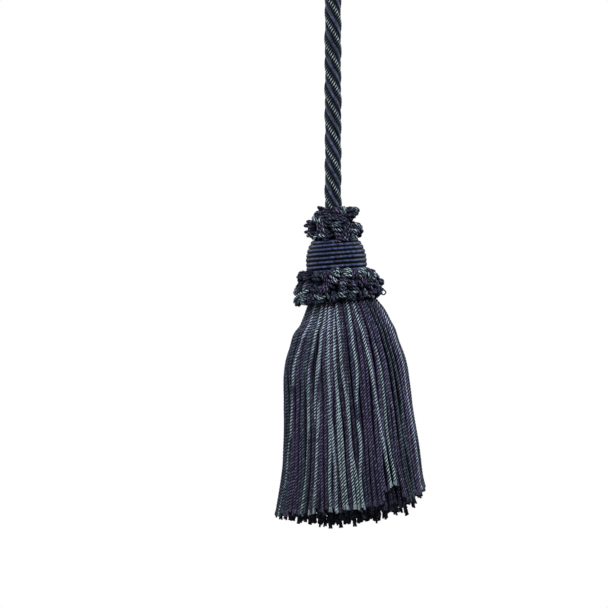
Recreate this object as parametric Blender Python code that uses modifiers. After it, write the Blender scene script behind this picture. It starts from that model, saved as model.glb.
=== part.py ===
"""Furnishing tassel on a twisted hanging cord.

Frame: metres, +Z up, front faces -Y. The origin is the inside of the hanging loop's
crown, where a hook would carry it, and everything hangs below it.
"""

import math
import random

import bmesh
import bpy
from mathutils import Vector

MM = 0.001
PIECE_GAP = 0.3 * MM
COLLECTION_NAME = "tassel"
GUIDE_COLLECTION_NAME = "tassel_guides"

# Hanging cord: four strands laid together, running down from left to right in front.
CORD_RADIUS = 3.0 * MM
CORD_STRANDS = 4
CORD_GROOVE_SHARE = 0.80
CORD_LAY = 18.0 * MM
CORD_STEPS_PER_LAY = 10

# Where the tassel's own axis starts: the foot of the free cord, and its lean.
CORD_DROP = 140.0 * MM
TASSEL_LEAN_DEG = 3.3

# Route of the cord's middle line, as (x, z) in millimetres, from the head upwards.
CORD_ROUTE_MM = [
    (0.70, -152.0), (0.36, -146.0), (0.06, -141.0), (0.0, -136.0), (0.0, -120.0),
    (0.0, -104.0), (0.0, -88.0), (0.0, -72.0), (-0.25, -65.5), (-1.35, -59.0),
    (-2.65, -52.5), (-3.12, -48.4), (-3.15, -46.4),
]
LOOP_HALF_ROUTE_MM = [
    (-3.15, -35.6), (-3.2, -33.6), (-4.3, -30.0), (-6.6, -26.2), (-9.7, -21.6), (-12.3, -16.4),
    (-13.5, -10.5), (-12.5, -5.2), (-9.6, -1.0), (-5.2, 1.9), (0.0, 3.0),
]

# Thread binding that closes the loop round both of its legs.
BINDING_TOP = -36.0 * MM
BINDING_BOTTOM = -46.0 * MM
BINDING_TURNS = 6
BINDING_HALF_WIDTH = 7.0 * MM
BINDING_HALF_DEPTH = 3.9 * MM
BINDING_GROOVE = 0.45 * MM
BINDING_STEPS = 16

# Wound head: rows of one cord wound round a dome.
HEAD_TOP = 12.4 * MM
HEAD_ROW = 1.55 * MM
HEAD_ROWS = 8
HEAD_GROOVE = 0.4 * MM
HEAD_STEPS = 32
HEAD_OUTLINE_MM = [
    # depth, radius
    (12.4, 7.8), (13.6, 8.7), (15.2, 9.7), (17.0, 10.35), (19.0, 10.75), (22.0, 10.8),
    (24.8, 10.5),
]

# Upper ruff: two tiers of lobes round the foot of the cord, the top one set to the right.
UPPER_RUFF_LOBES = 12
UPPER_RUFF_HOLE = 3.4 * MM
UPPER_RUFF_WAIST = 6.0 * MM
UPPER_TIER_SHIFT = 1.5 * MM
LOWER_TIER_LIFT = 1.8 * MM
UPPER_RUFF_OUTLINE_MM = [
    # radius, depth
    (4.1, 0.2), (6.2, 1.0), (7.9, 2.6), (7.5, 4.7), (7.0, 6.1), (9.6, 7.2), (10.5, 9.4),
    (10.0, 12.0), (9.3, 12.9),
]

# Lower ruff: a deep collar of looped lobes round the head's foot, hanging lower on the left.
LOWER_RUFF_LOBES = 20
LOWER_RUFF_DROOP = 1.9 * MM
LOWER_RUFF_OUTLINE_MM = [
    # radius, depth
    (12.0, 22.8), (14.0, 24.2), (16.1, 26.6), (16.6, 30.2), (15.4, 33.6), (13.5, 34.4),
]
LOWER_RUFF_BORE_MM = [
    # radius, depth
    (12.3, 32.9), (11.5, 30.4), (11.4, 25.2),
]
RUFF_VALLEY_SHARE = 0.55
STEPS_PER_LOBE = 4
LOBE_LIFT = 0.5 * MM

# Skirt: strands fused into the bound heading under the head.
HEADING_TOP_RADIUS = 10.2 * MM
HEADING_RADIUS = 11.0 * MM
HEADING_TOP = 25.1 * MM
HEADING_BOTTOM = 31.0 * MM
HEADING_STEPS = 28
ROOT_OVERLAP = 1.2 * MM
STRAND_RADIUS = 0.72 * MM
ROOT_STRAND_RADIUS = 0.50 * MM
OUTER_SIDES = 4
INNER_SIDES = 3
SKIRT_OUTLINE_MM = [
    # depth, radius, drift to the right
    (31.0, 11.0, 0.0), (34.5, 12.2, 0.0), (40.0, 16.5, 0.5), (50.0, 20.2, 0.9),
    (66.0, 22.5, 1.2), (84.0, 23.7, 1.0), (108.0, 27.0, 0.0),
]
SKIRT_RINGS = [
    # strands, radius at the root (mm), share of the outline at the end
    (42, 10.3, 1.00), (42, 9.0, 1.00), (32, 7.7, 0.86), (25, 6.4, 0.70),
    (20, 5.1, 0.54), (14, 3.8, 0.39), (8, 2.5, 0.24), (3, 1.1, 0.09),
]
OUTER_RINGS = 2
OUTER_LEVELS_MM = [34.5, 40.0, 50.0, 66.0]
INNER_LEVELS_MM = [40.0, 66.0]

# Cut ends: they follow a shallow dome, and a notch is trimmed out of its right front.
DOME_DEPTH = 113.0 * MM
DOME_RISE = 5.0 * MM
DOME_REACH = 24.5 * MM
DOME_MIDDLE_X = -3.0 * MM
NOTCH_RISE = 4.2 * MM
NOTCH_BEARING = math.radians(-25.0)
NOTCH_HALF_ANGLE = math.radians(55.0)
END_UNEVENNESS = 0.6 * MM
PLACE_UNEVENNESS = 0.08

# Finish colours, linear.
CORD_COLOUR = (0.030, 0.045, 0.085)
BINDING_COLOUR = (0.020, 0.030, 0.070)
RUFF_COLOUR = (0.020, 0.024, 0.045)
HEAD_COLOUR = (0.018, 0.035, 0.100)
SKIRT_COLOUR = (0.032, 0.034, 0.062)
YARN_ROUGHNESS = 0.85
SMOOTH_ANGLE = math.radians(50.0)


def clear_scene():
    """Removes every object, so that only the tassel is left."""
    for item in list(bpy.data.objects):
        bpy.data.objects.remove(item, do_unlink=True)


def new_collection(name):
    """Returns a new collection in the scene."""
    collection = bpy.data.collections.new(name)
    bpy.context.scene.collection.children.link(collection)
    return collection


def yarn_material(name, colour):
    """Returns a matt yarn material."""
    material = bpy.data.materials.new(name)
    material.use_nodes = True
    shader = material.node_tree.nodes["Principled BSDF"]
    shader.inputs["Base Color"].default_value = (*colour, 1.0)
    shader.inputs["Roughness"].default_value = YARN_ROUGHNESS
    shader.inputs["Metallic"].default_value = 0.0
    return material


def evaluated_mesh(item):
    """Returns an object's mesh as the viewport shows it, welded and facing out."""
    bpy.context.view_layer.update()
    graph = bpy.context.evaluated_depsgraph_get()
    mesh = bpy.data.meshes.new_from_object(item.evaluated_get(graph))
    work = bmesh.new()
    work.from_mesh(mesh)
    bmesh.ops.remove_doubles(work, verts=work.verts, dist=0.01 * MM)
    bmesh.ops.recalc_face_normals(work, faces=work.faces)
    work.to_mesh(mesh)
    work.free()
    return mesh


def add_piece(name, mesh, material, collection, parent=None):
    """Adds one named piece of the tassel, shaded smooth but for its sharp edges."""
    mesh.materials.clear()
    mesh.materials.append(material)
    mesh.shade_smooth()
    mesh.set_sharp_from_angle(angle=SMOOTH_ANGLE)
    piece = bpy.data.objects.new(name, mesh)
    collection.objects.link(piece)
    piece.parent = parent
    return piece


def add_guide(name, data, guides):
    """Adds a helper that shapes a piece and isn't part of the tassel."""
    guide = bpy.data.objects.new(name, data)
    guides.objects.link(guide)
    guide.hide_render = True
    guide.display_type = "WIRE"
    return guide


def turned_mesh(outline, steps, guides, closed):
    """Turns an outline of (radius, height) points round Z, from its top down."""
    line = bpy.data.meshes.new("outline")
    edges = [(i, i + 1) for i in range(len(outline) - 1)]
    if closed:
        edges.append((len(outline) - 1, 0))
    line.from_pydata([(radius, 0.0, height) for radius, height in outline], edges, [])
    guide = add_guide("turning_outline", line, guides)
    screw = guide.modifiers.new("turn", "SCREW")
    screw.steps = steps
    screw.render_steps = steps
    screw.use_merge_vertices = True
    screw.merge_threshold = 0.01 * MM
    mesh = evaluated_mesh(guide)
    bpy.data.objects.remove(guide, do_unlink=True)
    return mesh


def table_value(table, key, column):
    """Reads a column of a table at a key, straight between its rows."""
    if key <= table[0][0]:
        return table[0][column]
    for low, high in zip(table, table[1:]):
        if key <= high[0]:
            share = (key - low[0]) / (high[0] - low[0])
            return low[column] + share * (high[column] - low[column])
    return table[-1][column]


def smooth_route(points, step):
    """Returns points at an even step along a smooth curve through the given points."""
    first = 2.0 * points[0] - points[1]
    last = 2.0 * points[-1] - points[-2]
    ends = [first, *points, last]
    fine = []
    for a, b, c, d in zip(ends, ends[1:], ends[2:], ends[3:]):
        for i in range(12):
            t = i / 12
            fine.append(
                0.5 * (2.0 * b + (c - a) * t + (2.0 * a - 5.0 * b + 4.0 * c - d) * t * t
                       + (3.0 * b - a - 3.0 * c + d) * t ** 3)
            )
    fine.append(points[-1])
    runs = [(q - p).length for p, q in zip(fine, fine[1:])]
    count = max(2, round(sum(runs) / step))
    spacing = sum(runs) / count
    even, done, i = [fine[0]], 0.0, 0
    for k in range(1, count):
        while done + runs[i] < k * spacing:
            done += runs[i]
            i += 1
        even.append(fine[i].lerp(fine[i + 1], (k * spacing - done) / runs[i]))
    even.append(fine[-1])
    return even


def route_from_mm(pairs):
    """Turns (x, z) pairs in millimetres into points in the cord's plane."""
    return [Vector((x * MM, 0.0, z * MM)) for x, z in pairs]


def closed_profile(name, points, guides):
    """Adds a closed flat curve, the section that a swept piece follows."""
    data = bpy.data.curves.new(name, "CURVE")
    data.dimensions = "2D"
    spline = data.splines.new("POLY")
    spline.points.add(len(points) - 1)
    for point, (x, y) in zip(spline.points, points):
        point.co = (x, y, 0.0, 1.0)
    spline.use_cyclic_u = True
    return add_guide(name, data, guides)


def rope_section(guides):
    """Adds the four-lobed section of the laid cord: a groove and two crest points a strand."""
    points = []
    per_strand = 3
    for i in range(CORD_STRANDS * per_strand):
        angle = math.tau * i / (CORD_STRANDS * per_strand)
        radius = CORD_RADIUS * (CORD_GROOVE_SHARE if i % per_strand == 0 else 1.0)
        points.append((radius * math.cos(angle), radius * math.sin(angle)))
    return closed_profile("rope_section", points, guides)


def swept_rope(name, route, first_turn, section, guides):
    """Returns the mesh of a laid rope along a route, and the turn that it ends at."""
    step = CORD_LAY / CORD_STEPS_PER_LAY
    points = smooth_route(route, step)
    data = bpy.data.curves.new(name, "CURVE")
    data.dimensions = "3D"
    data.bevel_mode = "OBJECT"
    data.bevel_object = section
    data.use_fill_caps = True
    data.twist_mode = "MINIMUM"
    spline = data.splines.new("POLY")
    spline.points.add(len(points) - 1)
    turn = -math.tau / CORD_STEPS_PER_LAY
    for i, (target, point) in enumerate(zip(spline.points, points)):
        target.co = (*point, 1.0)
        target.tilt = first_turn + i * turn
    guide = add_guide(name + "_route", data, guides)
    mesh = evaluated_mesh(guide)
    bpy.data.objects.remove(guide, do_unlink=True)
    return mesh, first_turn + (len(points) - 1) * turn


def add_cord_and_loop(collection, guides):
    """Adds the free cord and its hanging loop."""
    material = yarn_material("laid_cord", CORD_COLOUR)
    section = rope_section(guides)
    cord_mesh, turn = swept_rope("cord", route_from_mm(CORD_ROUTE_MM), 0.0, section, guides)
    add_piece("hanging_cord", cord_mesh, material, collection)
    mirrored = [(-x, z) for x, z in reversed(LOOP_HALF_ROUTE_MM[:-1])]
    loop_route = route_from_mm(LOOP_HALF_ROUTE_MM + mirrored)
    loop_mesh, _ = swept_rope("loop", loop_route, turn, section, guides)
    add_piece("hanging_loop", loop_mesh, material, collection)


def add_binding(collection, guides):
    """Adds the thread binding, an oval bundle with one ridge for each turn."""
    pitch = (BINDING_TOP - BINDING_BOTTOM) / BINDING_TURNS
    groove = BINDING_HALF_WIDTH - BINDING_GROOVE
    outline = [(0.0, BINDING_TOP), (groove, BINDING_TOP)]
    for turn in range(BINDING_TURNS):
        top = BINDING_TOP - turn * pitch
        outline.append((BINDING_HALF_WIDTH, top - 0.5 * pitch))
        outline.append((groove, top - pitch))
    outline.append((0.0, BINDING_BOTTOM))
    mesh = turned_mesh(outline, BINDING_STEPS, guides, closed=False)
    for vertex in mesh.vertices:
        vertex.co.y *= BINDING_HALF_DEPTH / BINDING_HALF_WIDTH
    material = yarn_material("binding_thread", BINDING_COLOUR)
    add_piece("loop_binding", mesh, material, collection)


def lobed_ring(outline_mm, bore_mm, lobes, shape_lobe, floor_depth, guides, seed):
    """Returns a ring whose outer side is drawn into lobes of uneven size.

    The outline runs down the outer side and the bore runs up the inner side, both in
    radius and depth. Between two lobes the outline falls back to a share of its height
    over the bore, and rises to the floor depth, where the ring sits on what is below it.
    shape_lobe gives a lobe's phase and shift at an angle and depth.
    """
    pairs = outline_mm + bore_mm
    outline = [(radius * MM, -depth * MM) for radius, depth in pairs]
    mesh = turned_mesh(outline, lobes * STEPS_PER_LOBE, guides, closed=True)
    chance = random.Random(seed)
    sizes = [chance.uniform(0.88, 1.04) for _ in range(lobes)]
    lifts = [chance.uniform(0.0, LOBE_LIFT) for _ in range(lobes)]
    bore_radius = max(radius for radius, _ in bore_mm) * MM
    for vertex in mesh.vertices:
        radius = math.hypot(vertex.co.x, vertex.co.y)
        height = radius - bore_radius
        if height < 0.05 * MM:
            continue
        angle = math.atan2(vertex.co.y, vertex.co.x)
        phase, shift = shape_lobe(angle, -vertex.co.z, height)
        turn = (angle / math.tau * lobes + phase) % lobes
        lobe = int(turn)
        wave = math.sin(math.pi * (turn - lobe)) ** 0.7
        share = RUFF_VALLEY_SHARE + (sizes[lobe] - RUFF_VALLEY_SHARE) * wave
        lobed = (bore_radius + height * share) / radius
        under_floor = max(0.0, -vertex.co.z - floor_depth)
        level = vertex.co.z + under_floor * (1.0 - wave)
        vertex.co = Vector((vertex.co.x * lobed, vertex.co.y * lobed, level)) + shift
        vertex.co.z += lifts[lobe] * wave
    return mesh


def add_upper_ruff(collection, guides, axis):
    """Adds the two-tiered ruff round the foot of the cord."""
    hole = UPPER_RUFF_HOLE / MM
    floor_depth = HEAD_TOP - PIECE_GAP
    bore = [(hole, floor_depth / MM), (hole, 0.2)]
    full_height = 4.5 * MM

    def shape_lobe(angle, depth, height):
        """The top tier leans right, and the bottom one is pushed up on its left."""
        if depth < UPPER_RUFF_WAIST:
            return 0.0, Vector((UPPER_TIER_SHIFT * min(1.0, height / full_height), 0.0, 0.0))
        near_waist = max(0.0, 1.0 - (depth - UPPER_RUFF_WAIST) / UPPER_RUFF_WAIST)
        lift = LOWER_TIER_LIFT * max(0.0, -math.cos(angle)) * near_waist
        return 0.5, Vector((0.0, 0.0, lift))

    outline = UPPER_RUFF_OUTLINE_MM + [(8.4, floor_depth / MM)]
    mesh = lobed_ring(outline, bore, UPPER_RUFF_LOBES, shape_lobe, floor_depth, guides, seed=3)
    material = yarn_material("looped_yarn", RUFF_COLOUR)
    add_piece("upper_ruff", mesh, material, collection, axis)
    return material


def add_lower_ruff(collection, guides, axis, material):
    """Adds the deep lobed collar between the head and the skirt."""
    full_height = 3.0 * MM

    def shape_lobe(angle, depth, height):
        """The left side of the collar has sagged."""
        sag = LOWER_RUFF_DROOP * max(0.0, -math.cos(angle)) ** 2 * min(1.0, height / full_height)
        return 0.0, Vector((0.0, 0.0, -sag))

    floor_depth = LOWER_RUFF_BORE_MM[0][1] * MM
    mesh = lobed_ring(
        LOWER_RUFF_OUTLINE_MM, LOWER_RUFF_BORE_MM, LOWER_RUFF_LOBES, shape_lobe, floor_depth,
        guides, seed=5,
    )
    add_piece("lower_ruff", mesh, material, collection, axis)


def add_head(collection, guides, axis):
    """Adds the dome of wound cord, with a ridge for each row of it."""
    shoulder = table_value(HEAD_OUTLINE_MM, HEAD_TOP / MM, 1) * MM - HEAD_GROOVE
    outline = [(0.0, -HEAD_TOP), (shoulder, -HEAD_TOP)]
    for row in range(HEAD_ROWS):
        crest = HEAD_TOP + (row + 0.5) * HEAD_ROW
        groove = HEAD_TOP + (row + 1.0) * HEAD_ROW
        outline.append((table_value(HEAD_OUTLINE_MM, crest / MM, 1) * MM, -crest))
        outline.append((table_value(HEAD_OUTLINE_MM, groove / MM, 1) * MM - HEAD_GROOVE, -groove))
    outline.append((0.0, -(HEAD_TOP + HEAD_ROWS * HEAD_ROW)))
    mesh = turned_mesh(outline, HEAD_STEPS, guides, closed=False)
    add_piece("wound_head", mesh, yarn_material("wound_cord", HEAD_COLOUR), collection, axis)


def end_depth(x, y, outermost, angle):
    """Returns how deep a strand's cut end hangs."""
    off_middle = math.hypot(x - DOME_MIDDLE_X, y) / DOME_REACH
    depth = DOME_DEPTH - DOME_RISE * off_middle ** 2
    turned = abs((angle - NOTCH_BEARING + math.pi) % math.tau - math.pi)
    if outermost and turned < NOTCH_HALF_ANGLE:
        depth -= NOTCH_RISE * math.cos(0.5 * math.pi * turned / NOTCH_HALF_ANGLE) ** 2
    return depth


def strand_paths(levels_mm, first_ring, last_ring, chance):
    """Returns a list of strands, each a list of (point, fullness), root first.

    A strand keeps its place between its neighbours: its ring gives its distance from the
    axis as a share of the skirt's outline, which eases from the root's to the end's.
    """
    strands = []
    widest_root = SKIRT_RINGS[0][1]
    end_level, end_radius, _ = SKIRT_OUTLINE_MM[-1]
    root = HEADING_BOTTOM - ROOT_OVERLAP
    for index in range(first_ring, last_ring):
        count, ring_radius, end_share = SKIRT_RINGS[index]
        for k in range(count):
            uneven = chance.uniform(-PLACE_UNEVENNESS, PLACE_UNEVENNESS)
            angle = math.tau * (k + 0.5 * (index % 2) + uneven) / count
            reach = end_share * end_radius * MM
            end = end_depth(
                reach * math.cos(angle), reach * math.sin(angle), index < OUTER_RINGS, angle
            )
            end += chance.uniform(-END_UNEVENNESS, END_UNEVENNESS)
            path = []
            for depth in [root, *(level * MM for level in levels_mm), end]:
                fall = (depth - HEADING_BOTTOM) / (end_level * MM - HEADING_BOTTOM)
                ease = min(1.0, max(0.0, fall)) ** 0.6
                share = ring_radius / widest_root * (1.0 - ease) + end_share * ease
                outline = table_value(SKIRT_OUTLINE_MM, depth / MM, 1) * MM
                drift = table_value(SKIRT_OUTLINE_MM, depth / MM, 2) * MM
                away = (outline - STRAND_RADIUS) * share
                point = Vector((away * math.cos(angle) + drift, away * math.sin(angle), -depth))
                path.append((point, min(1.0, 3.0 * ease)))
            strands.append(path)
    return strands


def strand_mesh(name, strands, sides, guides):
    """Returns closed prisms along the strands, thin at the root and full below it."""
    data = bpy.data.curves.new(name, "CURVE")
    data.dimensions = "3D"
    data.use_fill_caps = True
    turns = [math.tau * i / sides for i in range(sides)]
    corners = [(STRAND_RADIUS * math.cos(turn), STRAND_RADIUS * math.sin(turn)) for turn in turns]
    data.bevel_mode = "OBJECT"
    data.bevel_object = closed_profile(name + "_section", corners, guides)
    thin = ROOT_STRAND_RADIUS / STRAND_RADIUS
    for path in strands:
        spline = data.splines.new("POLY")
        spline.points.add(len(path) - 1)
        for target, (point, fullness) in zip(spline.points, path):
            target.co = (*point, 1.0)
            target.radius = thin + (1.0 - thin) * fullness
    guide = add_guide(name, data, guides)
    mesh = evaluated_mesh(guide)
    bpy.data.objects.remove(guide, do_unlink=True)
    return mesh


def heading_mesh():
    """Returns the bound heading, a drum that widens downwards."""
    mesh = bpy.data.meshes.new("heading")
    work = bmesh.new()
    bmesh.ops.create_cone(
        work, cap_ends=True, segments=HEADING_STEPS, radius1=HEADING_RADIUS,
        radius2=HEADING_TOP_RADIUS, depth=HEADING_BOTTOM - HEADING_TOP,
    )
    middle = Vector((0.0, 0.0, -0.5 * (HEADING_TOP + HEADING_BOTTOM)))
    bmesh.ops.translate(work, verts=work.verts, vec=middle)
    work.to_mesh(mesh)
    work.free()
    return mesh


def add_skirt(collection, guides, axis):
    """Adds the heading with every strand of the skirt fused into it."""
    material = yarn_material("skirt_yarn", SKIRT_COLOUR)
    skirt = add_piece("skirt", heading_mesh(), material, collection, axis)
    chance = random.Random(11)
    outer = strand_paths(OUTER_LEVELS_MM, 0, OUTER_RINGS, chance)
    inner = strand_paths(INNER_LEVELS_MM, OUTER_RINGS, len(SKIRT_RINGS), chance)
    layers = [("outer_strands", outer, OUTER_SIDES), ("inner_strands", inner, INNER_SIDES)]
    for name, paths, sides in layers:
        strands = add_guide(name, strand_mesh(name, paths, sides, guides), guides)
        strands.parent = axis
        union = skirt.modifiers.new("join_" + name, "BOOLEAN")
        union.operation = "UNION"
        union.solver = "EXACT"
        union.object = strands


def main():
    """Builds the tassel."""
    clear_scene()
    collection = new_collection(COLLECTION_NAME)
    guides = new_collection(GUIDE_COLLECTION_NAME)
    axis = bpy.data.objects.new("tassel_axis", None)
    collection.objects.link(axis)
    axis.location = (0.0, 0.0, -CORD_DROP)
    axis.rotation_euler = (0.0, -math.radians(TASSEL_LEAN_DEG), 0.0)
    add_cord_and_loop(collection, guides)
    add_binding(collection, guides)
    ruff_material = add_upper_ruff(collection, guides, axis)
    add_head(collection, guides, axis)
    add_lower_ruff(collection, guides, axis, ruff_material)
    add_skirt(collection, guides, axis)


main()
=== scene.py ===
"""Looks of a furnishing tassel on its twisted hanging cord, dressed on its CAD frame.

Metres, +Z up, the front faces -Y. Every yarn is swept along its own line as a curve with a
plied section, whose tilt is the yarn's twist, and is then made a mesh. The tassel's own
parts are worked out about its axis, with depth measured down from the cord's foot, and are
leaned into the frame at the end.
"""

import logging
import math
import random
from dataclasses import dataclass
from enum import Enum

import bpy
import numpy as np
from mathutils import Matrix, Vector


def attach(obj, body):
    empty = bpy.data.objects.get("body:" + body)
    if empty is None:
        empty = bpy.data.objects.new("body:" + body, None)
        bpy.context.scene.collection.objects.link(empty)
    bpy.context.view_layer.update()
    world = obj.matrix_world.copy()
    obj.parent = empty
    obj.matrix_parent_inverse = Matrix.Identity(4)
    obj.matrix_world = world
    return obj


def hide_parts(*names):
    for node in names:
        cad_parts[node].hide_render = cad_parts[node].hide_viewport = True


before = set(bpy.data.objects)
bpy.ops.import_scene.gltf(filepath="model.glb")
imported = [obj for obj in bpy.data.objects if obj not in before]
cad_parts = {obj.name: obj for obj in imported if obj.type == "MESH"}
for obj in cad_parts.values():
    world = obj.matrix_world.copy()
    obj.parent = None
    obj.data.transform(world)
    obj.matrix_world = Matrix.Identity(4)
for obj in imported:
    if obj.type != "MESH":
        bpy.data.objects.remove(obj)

MM = 0.001
UV_NAME = "UVMap"
TONE_NAME = "tone"
FACING_NAME = "facing"
Tree = bpy.types.NodeTree
Socket = bpy.types.NodeSocket
log = logging.getLogger("tassel")

# Where the tassel's own axis starts in the frame, and its lean to the right.
CORD_DROP = 140.0 * MM
TASSEL_LEAN = math.radians(3.3)

# The pitch of thread that is wound turn against turn, in radii of the thread.
CLOSE_PITCH = 1.9
# How open a heading is among the yarns that it holds: the lower, the darker its painted shade.
HEADING_OPENNESS = 0.3
# How many points a smooth line gets between two of its own before it is sampled evenly.
SPAN_SAMPLES = 12
WELD_DISTANCE = 0.002 * MM
SHARP_ANGLE = math.radians(60.0)
# Keeps a division by a length of nothing from failing.
NEARLY_NOTHING = 1e-9
# Settings of a finish without grooves: the yarn is a crest all round, with no painted groove shade.
PLAIN_CRESTS = {"crest_start": -2.0, "crest_end": -1.0}

# The picture: its width at the tassel, and its middle.
PICTURE_WIDTH = 214.6 * MM
PICTURE_MIDDLE_X = -10.24 * MM
PICTURE_MIDDLE_Z = -175.3 * MM


class Dye(Enum):
    """The dye lots of the yarns, in the order of a piece's material slots."""

    INK = 0
    PLUM = 1
    SLATE = 2
    TEAL = 3


def srgb(code: str) -> tuple[float, float, float, float]:
    """Turns an sRGB hex colour to linear.

    Args:
        code: Six hex digits, with or without a leading #.

    Returns:
        Linear red, green, blue and an alpha of 1.
    """
    digits = code.lstrip("#")
    levels = [int(digits[i:i + 2], 16) / 255.0 for i in (0, 2, 4)]
    linear = [v / 12.92 if v <= 0.04045 else ((v + 0.055) / 1.055) ** 2.4 for v in levels]
    return (linear[0], linear[1], linear[2], 1.0)


def add_node(
    tree: Tree,
    kind: str,
    settings: dict[str | int, object] | None = None,
    links: dict[str | int, Socket] | None = None,
) -> bpy.types.Node:
    """Adds a node with its settings and links.

    Args:
        tree: The node tree that takes it.
        kind: The node's type name.
        settings: Values of its properties, and of its inputs by name or number.
        links: Sockets that feed its inputs, by name or number.

    Returns:
        The new node.
    """
    node = tree.nodes.new(kind)
    for name, value in (settings or {}).items():
        if isinstance(name, str) and hasattr(node, name):
            setattr(node, name, value)
        else:
            node.inputs[name].default_value = value
    for name, source in (links or {}).items():
        tree.links.new(source, node.inputs[name])
    return node


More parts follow.
